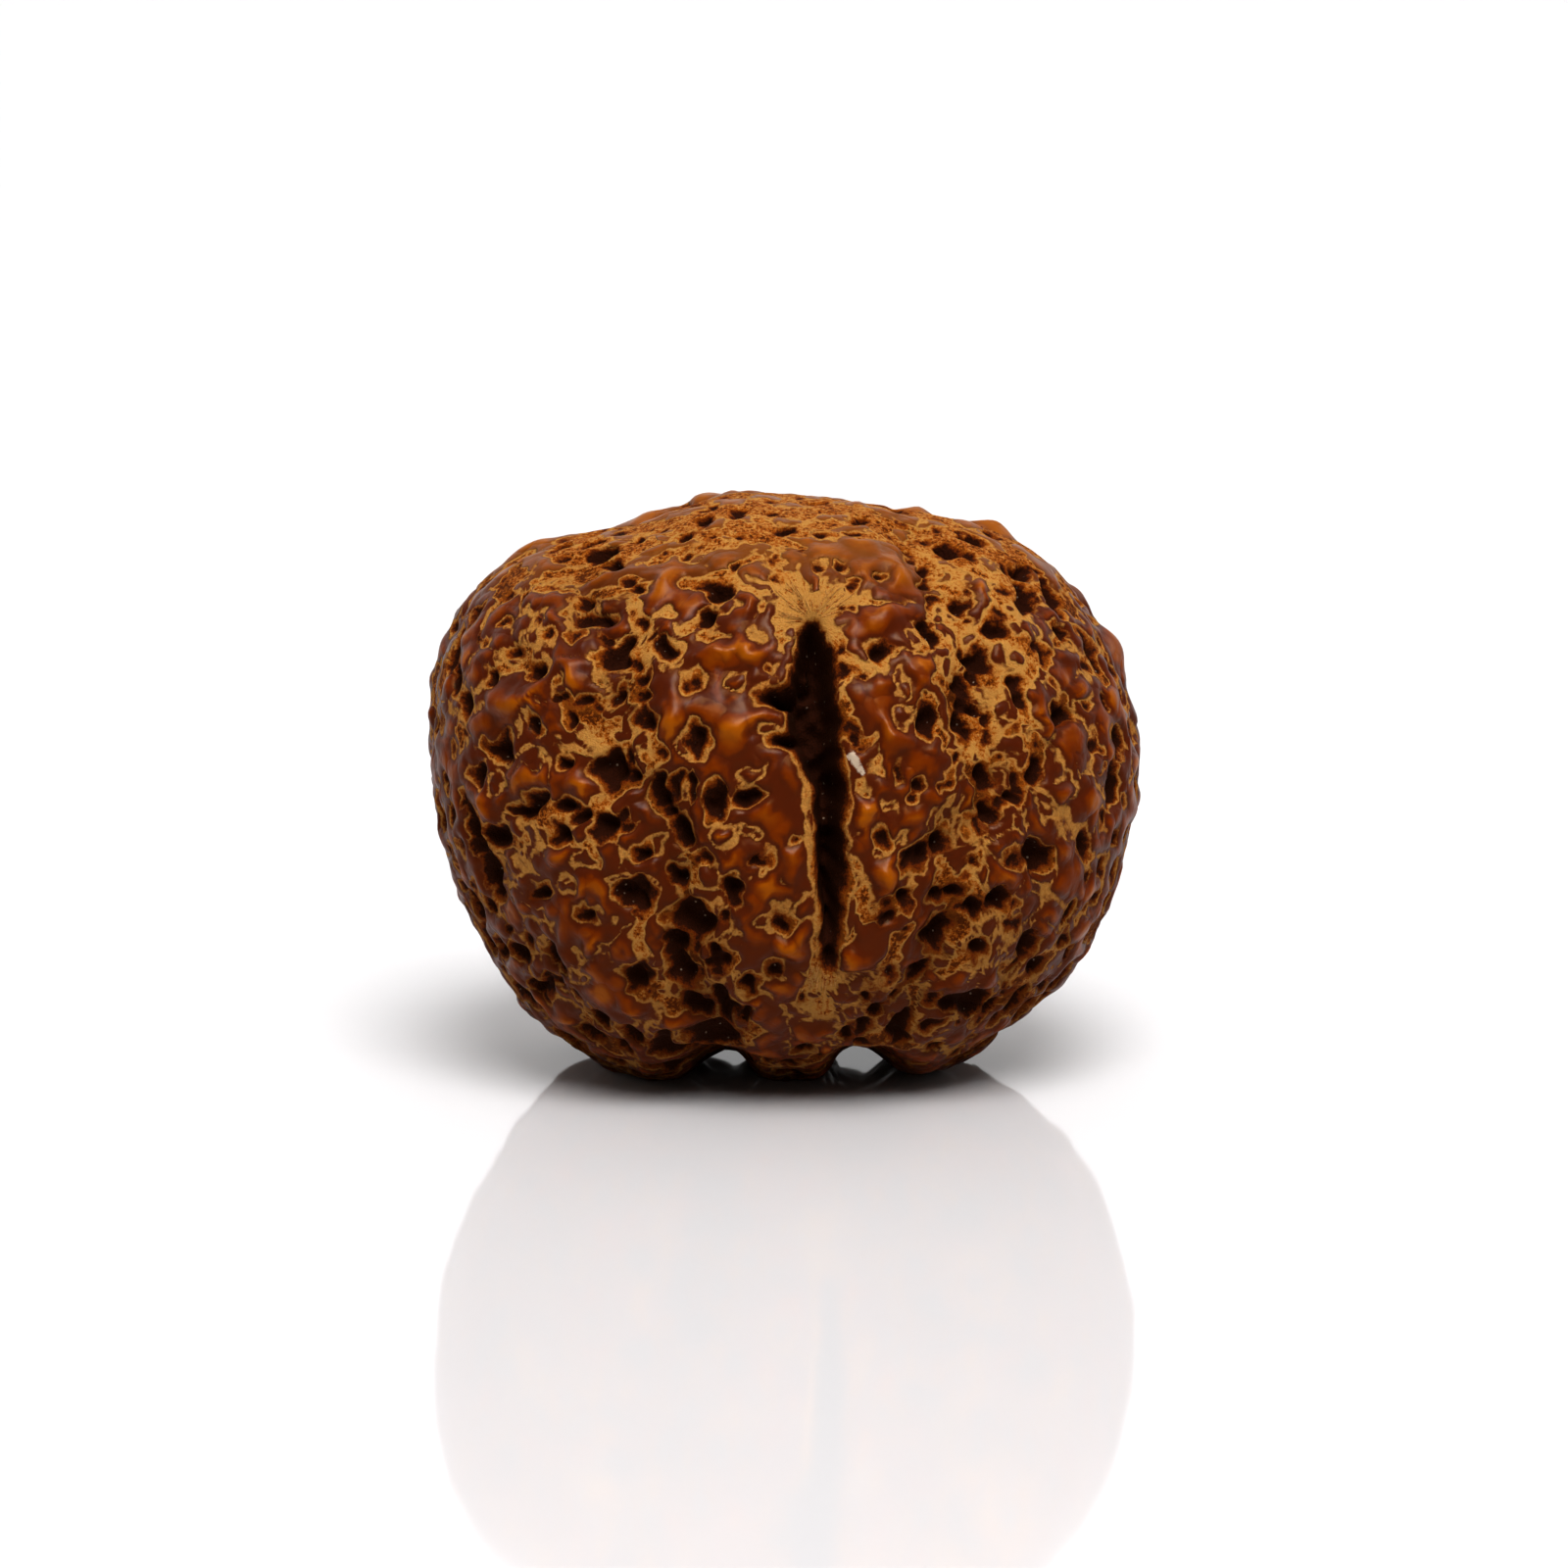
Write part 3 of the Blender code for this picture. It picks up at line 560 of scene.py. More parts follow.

# %% [markdown]
# ## Blisters
# The skin dried in lumps. The plainest are listed one by one, and their height follows from their width. On
# the outline a lump shows as a bump against the background, so those few are placed on the limb and given
# a height of their own. The others are strewn like the pits, with their own seed.

# %% Blisters by hand and by chance
blisters = front_spots(BLISTERS_PX)
half_widths = [min(half_width, half_height) * MM_PER_PX for _, _, half_width, half_height in BLISTERS_PX]
blister_heights = [min(BLISTER_RISE * half_width, MOST_RISE) for half_width in half_widths]
lumps = []
for x, y, half_width, rise in OUTLINE_LUMPS_PX:
    limb = unit(np.array([x - MIDDLE_PX[0], MIDDLE_PX[1] - y, 0.0]))
    lumps.append(spot(plain_form(limb[None])[0], half_width * MM_PER_PX, half_width * MM_PER_PX))
    blister_heights.append(rise)
blisters += lumps
places = strewn(BLISTER_SPACING, SEED + 1)
rolls = np.random.default_rng(SEED + 1).random((len(places), 4))
for place, (width, length, turn, rise), front in zip(places, rolls, front_share(places)):
    radii = between_two(BLISTER_RADII, width), between_two(BLISTER_RADII, length)
    blisters.append(spot(place, *radii, math.pi * turn))
    blister_heights.append(between_two(STREWN_HEIGHTS, rise * width) * (1 - FRONT_LOWER * front))
print(len(blisters), "blisters in all")

# %% [markdown]
# ## A mesh that is finest where it is looked at
# A cube whose faces are cut into squares and blown up to a ball has no poles, so its squares stay nearly
# even. Projecting the ball flat from its far side, shrinking that picture and projecting it back crowds the
# squares towards the camera without bending them. The points are then about 0.13 mm apart on the front and
# 0.2 mm on the back.

# %% The fine grid
GRID = 128  # squares along each edge of the cube
CROWDING = 1.3
FAR_GUARD = 1e-9  # keeps the point farthest from the camera from a division by zero


def cube_grid(count):
    """Unit directions and the four-cornered faces of a cube whose sides are blown up to a ball.

    The camera's frame is left-handed, so the rings run clockwise here and come out facing outwards.
    """
    places = {}
    faces = []
    turns = np.tan(np.linspace(-math.pi / 4, math.pi / 4, count + 1))

    def corner(axis, side, i, j):
        at = [0, 0, 0]
        at[axis] = side * count
        at[(axis + 1) % 3] = 2 * i - count
        at[(axis + 2) % 3] = 2 * j - count
        return places.setdefault(tuple(at), len(places))

    for axis in range(3):
        for side in (-1, 1):
            for i in range(count):
                for j in range(count):
                    ring = [corner(axis, side, i + u, j + v) for u, v in ((0, 0), (1, 0), (1, 1), (0, 1))]
                    faces.append(ring if side < 0 else ring[::-1])
    steps = (np.array(list(places)) + count) // 2
    return unit(turns[steps]), faces


def crowded(directions, strength):
    """Draws the directions together round the camera's side, (0, 0, -1)."""
    flat = directions[:, :2] / (1 + FAR_GUARD - directions[:, 2:]) / strength
    square = (flat**2).sum(axis=1)
    return np.column_stack([2 * flat[:, 0], 2 * flat[:, 1], square - 1]) / (1 + square)[:, None]


directions, squares = cube_grid(GRID)
directions = crowded(directions, CROWDING)
plain = plain_form(directions)
print(len(plain), "points and", len(squares), "squares")

# %% [markdown]
# ## Combed fibre
# Above the slot the threads spread out like a star, and below it they hang like a brush. For the material
# to draw them, every point there needs to know how far it is along the threads and how far across them.

# %% Along and across the threads
STAR_PX = (829, 634)
STAR_REACH = 2.4
BRUSH_PX = (840, 985)
BRUSH_REACH = 2.2
BRUSH_SPREAD = 0.25  # how much the brush opens towards its end
BRUSH_HALF_WIDTHS = (0.7, 1.0)
BRUSH_TOP = (-0.2, 0.2)
BRUSH_FADE = 0.2
STAR_CORE = 0.7  # the share of its reach in which the star is combed all through
FAN = 2  # how many mm across the threads one radian of the star counts as

star = plain - on_front(*STAR_PX)
brush = plain - on_front(*BRUSH_PX)
star_far = np.hypot(star[:, 0], star[:, 1])
comb_along = star_far.copy()
comb_across = np.arctan2(star[:, 0], star[:, 1]) * FAN
combed = 1 - smooth_step(star_far, STAR_REACH * STAR_CORE, STAR_REACH)
in_brush = 1 - smooth_step(np.abs(brush[:, 0]), *BRUSH_HALF_WIDTHS)
in_brush *= smooth_step(-brush[:, 1], *BRUSH_TOP)
in_brush *= 1 - smooth_step(-brush[:, 1], BRUSH_REACH, BRUSH_REACH + BRUSH_FADE)
comb_along = np.where(in_brush > 0, -brush[:, 1], comb_along)
comb_across = np.where(in_brush > 0, brush[:, 0] / (1 - BRUSH_SPREAD * brush[:, 1]), comb_across)
combed = np.maximum(combed, in_brush)
print("combed points:", int((combed > 0.5).sum()))

# %% [markdown]
# ## The distance fields
# The edges on a real seed are eaten into by weather, so the points are first pushed about by a soft
# noise. Measured from there, a round pit gets a ragged rim and a straight stroke wanders, while the
# surface itself stays put.

# %% How far from the slot, the pits and the grooves
WANDER = 0.12
WANDER_SIZE = 0.75
FINE_WANDER = 0.07
FINE_WANDER_SIZE = 0.32
PIT_GROWTH = -0.035  # pits were read a little large, because their walls are dark too
LOWER_GROWTH = 0.07  # but low down they are a little larger
LOWER_HEIGHTS = (-4, 1)  # in the picture: fully below the first, and not at all above the second
SLOT_GROWTH = 0.08
SLOT_WANDER = 0.45  # the slot is straighter than other edges
ARCH_HEIGHTS = (1.0, 2.6)  # the arches end between these heights above the floor
ARCH_SKIN = (0.9, 1.7)  # from the middle of an arch to here there is skin alone, darkened by painted shade

wandering = plain + WANDER * np.column_stack([ripple(plain, WANDER_SIZE, SEED + k) for k in range(3)])
wandering += FINE_WANDER * np.column_stack([ripple(plain, FINE_WANDER_SIZE, SEED + k) for k in range(3, 6)])
calm = plain + SLOT_WANDER * (wandering - plain)
slot_gap = strokes_gap(calm, [SLOT_PX] + NOTCHES_PX) - SLOT_GROWTH
lower = 1 - smooth_step(plain[:, 1], *LOWER_HEIGHTS)
pit_gap = np.minimum(oval_gap(wandering, pits) - PIT_GROWTH - LOWER_GROWTH * lower, slot_gap)
pit_gap = np.maximum(pit_gap, -oval_gap(wandering, lumps))

groove_lines = [[on_front(x, y) for x, y in line] for line in FRONT_GROOVES_PX]
groove_lines += [back_groove(degrees) for degrees in BACK_GROOVES]
groove_gap = np.full(len(plain), FAR)
for number, line in enumerate(groove_lines):
    weaker = OUTER_GROOVES_WEAKER if number in OUTER_GROOVES else 0
    groove_gap = np.minimum(groove_gap, line_gap(wandering, line, [-weaker] * len(line)))
arch_gap = np.full(len(plain), FAR)
for x in ARCHES_PX:
    line = arch(x)
    arch_gap = np.minimum(arch_gap, line_gap(plain, line, [0] * len(line)))
by_floor = 1 - smooth_step(to_world(plain)[:, 2], *ARCH_HEIGHTS)
under = (1 - smooth_step(arch_gap, *ARCH_SKIN)) * by_floor
print("share of pits:", round(float((pit_gap < 0).mean()), 2))
print("share of the arches:", round(float(under.mean()), 3))

# %% [markdown]
# ## The edge of the skin
# On the front the skin ends where the strokes say. Elsewhere it ends along the grooves and in places left
# to a noise, whose level lines make good edges: below a level there is fibre, above it skin. Two kinds of
# thin line also cut the skin. One closes a loop where a noise passes zero, and the other is a crack
# between two blisters.

# %% How far from the edge of the skin
BARE_SIZE = 0.95  # of the bare places on the sides and the back
BARE_SLOPE = 0.4  # turns the noise into rough millimetres
BARE_LEVEL = 1.3  # higher leaves fewer bare places
BARER_CROWN = 1.95
LESS_BARE_FRONT = 0.6
GROOVE_BARE = 0.45  # a groove is bare to about this far from its middle
GROOVE_BARE_CHANGE = 0.35
GROOVE_BARE_SIZE = 2.2
ISLAND_SIZE = 0.55
ISLAND_SLOPE = 0.35
ISLAND_LEVEL = 1.1  # higher leaves fewer small islands of skin in the bare strokes
COMBED_CLEAR = 2  # and none where the fibre is combed
LOOP_SIZE = 1.5
LOOP_SLOPE = 0.8
LOOP_LINE = 0.05
LOOP_SHARE = 0.1  # higher leaves fewer loops
LOOP_FADE_SIZE = 3.0
CRACK_LINE = 0.055
CRACK_SHARE = 0.8  # higher leaves fewer cracks
CRACK_FADE = 0.25
CRACK_FADE_SIZE = 1.9
UNDER_CLEAR = 3  # keeps the arches free of bare fibre
RING_LINE = 0.06  # half the width of a closed line
RIM = 0.16  # the fibre that shows round a pit, between it and the skin
RIM_CHANGE = 0.08
RIM_SIZE = 0.7

by_hand = front_share(plain)
centre = centre_share(plain)
crown = crown_share(plain)
strewn_bare = BARE_SLOPE * (ripple(wandering, BARE_SIZE, SEED + 7) + BARE_LEVEL - BARER_CROWN * crown)
strewn_bare += LESS_BARE_FRONT * by_hand * (1 - crown)
groove_bare = groove_gap - GROOVE_BARE - GROOVE_BARE_CHANGE * ripple(plain, GROOVE_BARE_SIZE, SEED + 8)
bare_elsewhere = np.minimum(strewn_bare, groove_bare + FAR * by_hand) + FAR * centre
small_islands = ISLAND_SLOPE * (ripple(wandering, ISLAND_SIZE, SEED + 10) - ISLAND_LEVEL)
small_islands -= COMBED_CLEAR * combed
bare_gap = np.minimum(np.maximum(strokes_gap(wandering, BARE_PX), small_islands), bare_elsewhere)
bare_gap = np.minimum(bare_gap, strokes_gap(calm, SLOT_EDGES_PX))
loops = LOOP_SLOPE * np.abs(ripple(wandering, LOOP_SIZE, SEED + 30)) - LOOP_LINE
loops += np.maximum(0, LOOP_SHARE - ripple(plain, LOOP_FADE_SIZE, SEED + 31))
cracks = crease_gap(wandering, blisters) - CRACK_LINE
cracks += CRACK_FADE * np.maximum(0, CRACK_SHARE - ripple(plain, CRACK_FADE_SIZE, SEED + 32))
chance_lines = np.minimum(loops, cracks) + FAR * np.maximum(centre, under)
bare_gap = np.minimum(bare_gap, chance_lines) + UNDER_CLEAR * under

islands = front_spots(ISLANDS_PX) + lumps
skin_gap = np.maximum(bare_gap, -oval_gap(wandering, islands))
skin_gap = np.minimum(skin_gap, pit_gap - RIM - RIM_CHANGE * ripple(plain, RIM_SIZE, SEED + 9))
skin_gap = np.minimum(skin_gap, np.abs(oval_gap(wandering, rings)) - RING_LINE)
print("share of skin:", round(float((skin_gap > 0).mean()), 2))

# %% [markdown]
# Three more numbers say how the fibre and the skin are coloured: how pale a place is, how much painted shade
# it takes in a groove or under the seed, and how far it is from the crumb that is stuck beside the slot.

# %% Pale places, painted shade in the hollows, and the crumb
PALE_EDGE = (-0.5, 0.5)
PALE_CROWN = 0.7
PALE_HEIGHTS = (-5, 1)  # pale places are half as pale below these heights in the picture
HOLLOW_SHADE_STRENGTH = 0.7  # painted shade: the grooves are darker, but not on the pale crown
HOLLOW_SHADE_HALF_WIDTH = 1.0

pale = 1 - smooth_step(oval_gap(wandering, front_spots(PALE_PX)), *PALE_EDGE)
pale *= (1 + smooth_step(plain[:, 1], *PALE_HEIGHTS)) / 2
pale = np.maximum(PALE_CROWN * crown, pale)
hollow_shade = HOLLOW_SHADE_STRENGTH * np.exp(-((groove_gap / HOLLOW_SHADE_HALF_WIDTH) ** 2)) * (1 - pale)
# the arches under the seed take the painted shade in full
hollow_shade = np.maximum(hollow_shade, under)
crumb = strokes_gap(plain, [CRUMB_PX])
print("points in the crumb:", int((crumb < 0).sum()))

# %% [markdown]
# ## The relief
# The skin stands a little proud of the fibre, like thick varnish, and rolls over at its edge. Blisters
# swell it further. Where two of them meet they melt into each other: the cube root of their summed cubes is
# softer than the higher of the two, and lower than their sum.

# %% From distances to heights, in mm
SKIN_THICKNESS = 0.14
SKIN_ROLL = (-0.03, 0.26)  # the skin reaches that thickness between these distances from its edge
CROWN_THINNER = 0.4
BLISTER_POWER = 1.2  # 1 would give a dome, and more gives it a softer foot
BLISTER_WANDER = 0.5
BLISTER_FOOT = 0.85  # a blister is full this far inside the skin's edge
STEEPER_FRONT = 0.40  # and this much nearer to it on the front
CROWN_FLATTER = 0.5
SKIN_WAVES = (0.025, 0.8, 20)  # a ripple's height and size, and its own number
SKIN_GRAIN = (0.006, 0.35, 21)
FIBRE_GRAIN = (0.02, 0.25, 22)
VALLEY_DEPTH = 0.55
VALLEY_HALF_WIDTH = 1.15
ARCH_DEPTH = 1.5
ARCH_HALF_WIDTH = 1.35
PIT_DEPTH = 0.75
PIT_WALL = (-0.26, 0.03)
SLOT_DEPTH = 2.5
SLOT_WALL = (-0.4, 0)
SLOT_ROUGHNESS = 0.25
SLOT_LUMPS = 0.45
WEAR = 3  # rounds of smoothing
SIDE_WEAR = 6  # more rounds for the blisters of the sides and the back, so that none is a spike


def swelling(points, spots, heights):
    """Rounded bumps that melt into each other where they meet."""
    total = np.zeros(len(points))
    for (close, _, share), height in zip(near_each(points, spots), heights):
        total[close] += (height * np.clip(1 - share**2, 0, 1) ** BLISTER_POWER) ** 3
    return np.cbrt(total)


def worn(values, faces, rounds):
    """The values after each point has moved half way to the mean of its neighbours, some times over."""
    faces = np.array(faces)
    first = np.concatenate([faces[:, k] for k in range(4)])
    second = np.concatenate([faces[:, (k + 1) % 4] for k in range(4)])
    neighbours = np.bincount(first, minlength=len(values))
    for _ in range(rounds):
        total = np.bincount(first, weights=values[second], minlength=len(values))
        values = (values + total / neighbours) / 2
    return values


blister = swelling(plain + BLISTER_WANDER * (wandering - plain), blisters, blister_heights)
foot = smooth_step(skin_gap, 0, BLISTER_FOOT - STEEPER_FRONT * by_hand)
swell = foot * blister * (1 - CROWN_FLATTER * crown)
swell += (worn(swell, squares, SIDE_WEAR) - swell) * (1 - by_hand)
on_skin = smooth_step(skin_gap, *SKIN_ROLL)
height = on_skin * SKIN_THICKNESS * (1 - CROWN_THINNER * crown) + swell
for share, (rise, size, number) in ((on_skin, SKIN_WAVES), (on_skin, SKIN_GRAIN), (1 - on_skin, FIBRE_GRAIN)):
    height += share * rise * ripple(plain, size, SEED + number)
height -= VALLEY_DEPTH * np.exp(-((groove_gap / VALLEY_HALF_WIDTH) ** 2))
height -= ARCH_DEPTH * by_floor * np.exp(-((arch_gap / ARCH_HALF_WIDTH) ** 3))
height -= PIT_DEPTH * (1 - smooth_step(pit_gap, *PIT_WALL))
in_slot = 1 - smooth_step(slot_gap, *SLOT_WALL)
height -= in_slot * (SLOT_DEPTH - PIT_DEPTH + SLOT_ROUGHNESS * ripple(plain, SLOT_LUMPS, SEED + 23))
height = worn(height, squares, WEAR)
print("the relief runs from", round(float(height.min()), 2), "to", round(float(height.max()), 2), "mm")

# %% [markdown]
# ## The mesh
# The points go out along their own directions, and what would sink below the floor is pressed flat, so
# the seed stands on its lobes. The distances ride along as attributes of the points, for the materials to
# read.

# %% Build the seed
def new_object(name, points, faces):
    """An object made of points in metres and faces, linked to the scene."""
    mesh = bpy.data.meshes.new(name)
    mesh.from_pydata(points, [], faces)
    mesh.update()
    made = bpy.data.objects.new(name, mesh)
    bpy.context.scene.collection.objects.link(made)
    return made


surface = to_world(plain + directions * height[:, None])
surface[:, 2] = np.maximum(surface[:, 2], 0)
box_middle = (surface[:, :2].max(axis=0) + surface[:, :2].min(axis=0)) / 2
surface[:, :2] -= box_middle

seed = new_object("rudraksha_seed", (surface * MM).tolist(), squares)
for name, values in (
    ("skin gap", skin_gap),
    ("pit gap", pit_gap),
    ("blister", blister),
    ("pale", pale),
    ("hollow_shade", hollow_shade),
    ("crown", crown),
    ("crumb", crumb),
    ("combed", combed),
    ("comb along", comb_along),
    ("comb across", comb_across),
):
    seed.data.attributes.new(name, "FLOAT", "POINT").data.foreach_set("value", values.astype(np.float32))
seed.data.shade_smooth()
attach(seed, "root")
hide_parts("seed")
print("the seed's box in mm:", surface.min(axis=0).round(2), surface.max(axis=0).round(2))

# %% [markdown]
# ## Small helpers for node trees
# A material is a tree of nodes. Making each node takes several lines, and so does linking it. One helper
# does both: a value given for an input is either a number or the output of another node. A few more make
# sums of nodes nearly as short as sums of numbers.

# %% Helpers for nodes
def fill(tree, node, inputs):
    """Sets or links the inputs of a node."""
    for name, value in inputs.items():
        if isinstance(value, bpy.types.NodeSocket):
            tree.links.new(value, node.inputs[name])
        else:
            node.inputs[name].default_value = value


def add_node(tree, kind, inputs=None, **settings):
    """A new node, with its settings and inputs filled in."""
    node = tree.nodes.new("ShaderNode" + kind)
    for name, value in settings.items():
        setattr(node, name, value)
    fill(tree, node, inputs or {})
    return node


def maths(operation, first, second, clamp=False):
    """A sum, a difference or a product, in the tree that its inputs are from."""
    tree = (first if isinstance(first, bpy.types.NodeSocket) else second).id_data
    return add_node(tree, "Math", {0: first, 1: second}, operation=operation, use_clamp=clamp).outputs[0]


def plus(first, second):
    return maths("ADD", first, second)


def minus(first, second, clamp=False):
    return maths("SUBTRACT", first, second, clamp)


def times(first, second):
    return maths("MULTIPLY", first, second)


def summed(start, *parts):
    """A number plus some values, each times a weight of its own."""
    for value, weight in parts:
        start = plus(start, times(value, weight))
    return start


def between(value, low, high):
    """0 at low, 1 at high, and a soft step from one to the other, in either direction."""
    inputs = {"Value": value, "From Min": low, "From Max": high}
    return add_node(value.id_data, "MapRange", inputs, interpolation_type="SMOOTHSTEP").outputs["Result"]


def mixed(share, first, second):
    """One colour at share 0, the other at share 1."""
    tree = share.id_data
    node = add_node(tree, "Mix", data_type="RGBA")
    for name, value in (("Factor_Float", share), ("A_Color", first), ("B_Color", second)):
        socket = next(one for one in node.inputs if one.identifier == name)
        if isinstance(value, bpy.types.NodeSocket):
            tree.links.new(value, socket)
        else:
            socket.default_value = value
    return next(one for one in node.outputs if one.identifier == "Result_Color")


def noise(where, size, detail=2.0, roughness=0.5):
    """Noise about zero whose lumps are about size millimetres across."""
    inputs = {"Vector": where, "Scale": 1 / size, "Detail": detail, "Roughness": roughness}
    return minus(add_node(where.id_data, "TexNoise", inputs).outputs["Fac"], 0.5)


def new_group(name, inputs, outputs):
    """A shader node group with named sockets."""
    group = bpy.data.node_groups.new(name, "ShaderNodeTree")
    for side, sockets in (("INPUT", inputs), ("OUTPUT", outputs)):
        for label, kind in sockets:
            group.interface.new_socket(name=label, in_out=side, socket_type="NodeSocket" + kind)
    start = group.nodes.new("NodeGroupInput")
    end = group.nodes.new("NodeGroupOutput")
    return group, start.outputs, end


def new_material(piece, name):
    """A new material on a piece: its node tree and its shader."""
    material = bpy.data.materials.new(name)
    material.use_nodes = True
    piece.data.materials.append(material)
    return material.node_tree, material.node_tree.nodes["Principled BSDF"]


print("node helpers are ready")

# %% [markdown]
# ## Dry fibre
# Under the skin the wall is a mat of short woody threads, tan where the light reaches and orange-brown
# towards a pit. Two sizes of noise give the mat its mottling, and the finer one also roughens the
# surface. The seed and the loose threads on it share this effect, so it is a node group.

# %% The fibre group
BRIGHT_TAN = (0.47, 0.238, 0.060, 1)
ORANGE = (0.31, 0.080, 0.005, 1)
# the fibre's dark tone, which also carries painted shade: the fibre's shade and the seed's lower part
UMBER_AND_SHADE = (0.085, 0.019, 0.002, 1)
MOTTLING = (0.5, 3.0, 0.6)  # a noise's size in mm, its detail and its roughness
THREADS = (0.13, 3.0, 0.65)
STREAKS = (1.0, 2.0, 0.6)
FIBRE_LIGHT = 0.36  # how light the fibre is before any noise or shade
MOTTLE_LIGHT = 2.2
THREAD_LIGHT = 4.2
STREAK_LIGHT = 3.0
THREAD_RISE = 0.12
STREAK_RISE = 0.10

fibre_group, given, wanted = new_group(
    "Dry fibre",
    [("Millimetres", "Vector"), ("Shade", "Float"), ("Combed", "Float"), ("Along and across", "Vector")],
    [("Colour", "Color"), ("Height", "Float")],
)
tree = fibre_group
mottle = noise(given["Millimetres"], *MOTTLING)
threads = noise(given["Millimetres"], *THREADS)
streaks = times(noise(given["Along and across"], *STREAKS), given["Combed"])
weighed = (mottle, MOTTLE_LIGHT), (threads, THREAD_LIGHT), (streaks, STREAK_LIGHT), (given["Shade"], -1)
light = summed(FIBRE_LIGHT, *weighed)
colour = mixed(between(light, -0.25, 0.25), UMBER_AND_SHADE, ORANGE)
colour = mixed(between(light, 0.15, 1.0), colour, BRIGHT_TAN)
thread_height = summed(0, (threads, THREAD_RISE), (streaks, STREAK_RISE))
fill(tree, wanted, {"Colour": colour, "Height": thread_height})
print("made the group", fibre_group.name)

# %% [markdown]
# ## The seed's own finish
# Going out from the middle of a pit there are five finishes: the black hole and its burnt wall, both dark
# wood with painted shade of the pit on them, a thin bright line where the skin is cut, a maroon band with a
# little painted sheen where it is thick, and amber where a blister thins it. All of them follow the two
# distances, so each step is one soft threshold. A fine noise is added to the distances first, because the
# mesh alone can't carry an edge finer than its own squares.

# %% Frayed edges
FRAY = (0.16, 3.0, 0.65)
SKIN_FRAY = 0.09  # how far the noise, which runs from -0.5 to 0.5, moves the skin's edge
PIT_FRAY = (0.20, 4.0, 0.75)
RIM_FRAY = 0.40

tree, shader = new_material(seed, "Rudraksha wood")


def attribute(name):
    return add_node(tree, "Attribute", attribute_name=name).outputs["Fac"]


def in_millimetres(tree):
    """The place on the object, in the millimetres that all the sizes are in."""
    where = add_node(tree, "TexCoord").outputs["Object"]
    return add_node(tree, "VectorMath", {0: where, 3: 1 / MM}, operation="SCALE").outputs["Vector"]


where = in_millimetres(tree)
fray = noise(where, *FRAY)
skin_edge = summed(attribute("skin gap"), (fray, SKIN_FRAY))
pit_edge = summed(attribute("pit gap"), (noise(where, *PIT_FRAY), RIM_FRAY))
is_crown = attribute("crown")
is_hollow_shade = attribute("hollow_shade")
is_combed = attribute("combed")
print("the pits' edges are frayed by up to", RIM_FRAY / 2, "mm")

# %% [markdown]
# Fibre is lightest in the pale places and where it is combed into clean threads. Deep between two islands
# of skin it is dirty, and close to a pit it is shaded.

# %% Bare fibre
THREAD_WIDTH = 0.11
NEAR_PIT = (0.26, 0.04)
DEEP_IN = (-0.06, -0.30)
CLEAN_CROWN = 0.7
PIT_SHADE = 0.15
DEEP_SHADE = 0.60
PALE_SHADE = -0.75
COMBED_SHADE = -0.15
HOLLOW_SHADE = 0.45
CROWN_SHADE = 0.36

across_threads = times(attribute("comb across"), 1 / THREAD_WIDTH)
combing = add_node(tree, "CombineXYZ", {"X": across_threads, "Y": attribute("comb along")})
near_pit = between(pit_edge, *NEAR_PIT)
deep_in = times(between(skin_edge, *DEEP_IN), minus(1, is_combed))
deep_in = times(deep_in, summed(1, (is_crown, -CLEAN_CROWN)))
shade = summed(0, (near_pit, PIT_SHADE), (deep_in, DEEP_SHADE), (attribute("pale"), PALE_SHADE))
# the grooves and the arches under the seed add painted shade to the fibre
shade = summed(shade, (is_combed, COMBED_SHADE), (is_hollow_shade, HOLLOW_SHADE), (is_crown, CROWN_SHADE))
fibre_inputs = {"Millimetres": where, "Shade": shade, "Combed": is_combed}
fibre_inputs["Along and across"] = combing.outputs["Vector"]
fibre = add_node(tree, "Group", fibre_inputs, node_tree=fibre_group)
print("the fibre takes", len(fibre_inputs), "inputs")

# %% [markdown]
# The skin is a translucent varnish over the fibre: nearly black red where it is thick, amber where it is
# thin. It is thin on top of a blister and in the middle of the small puckered cells that it dried into.
# The cells are Voronoi cells, bent by a noise so that their borders aren't straight.

# %% The skin
# nearly black red, with a little blue in it as a painted sheen on the thick margins
MAROON_AND_SHEEN = (0.090, 0.0150, 0.0028, 1)
RUSSET = (0.168, 0.029, 0.0004, 1)
AMBER = (0.330, 0.092, 0.0014, 1)
TAWNY = (0.28, 0.095, 0.010, 1)  # the dull skin of the crown
TAWNY_CROWN = 0.55
CELL_SIZE = 1.15
CELL_BEND = 0.6
CELL_BEND_SIZE = 0.9
CELL_DOME = (0.85, 0.20)  # distances from the middle of a cell at which its dome starts and is full
CELL_MEAN = 0.45
CELL_RISE = 0.12
PATCHES = (1.6, 1.5)
THINNESS = 0.22  # before anything else thins or thickens the skin
BLISTER_THIN = 1.5
CELL_THIN = 0.70
PATCH_THIN = 1.3
HOLLOW_SHADE_ON_SKIN = -0.30
THICK_EDGE = (0.06, 0.40)

bent = add_node(tree, "TexNoise", {"Vector": where, "Scale": 1 / CELL_BEND_SIZE}).outputs["Color"]
bent = add_node(tree, "VectorMath", {0: bent, 3: CELL_BEND}, operation="SCALE").outputs["Vector"]
bent = add_node(tree, "VectorMath", {0: where, 1: bent}, operation="ADD").outputs["Vector"]
cells = add_node(tree, "TexVoronoi", {"Vector": bent, "Scale": 1 / CELL_SIZE})
dome = minus(between(cells.outputs["Distance"], *CELL_DOME), CELL_MEAN)
thin = summed(THINNESS, (attribute("blister"), BLISTER_THIN), (dome, CELL_THIN))
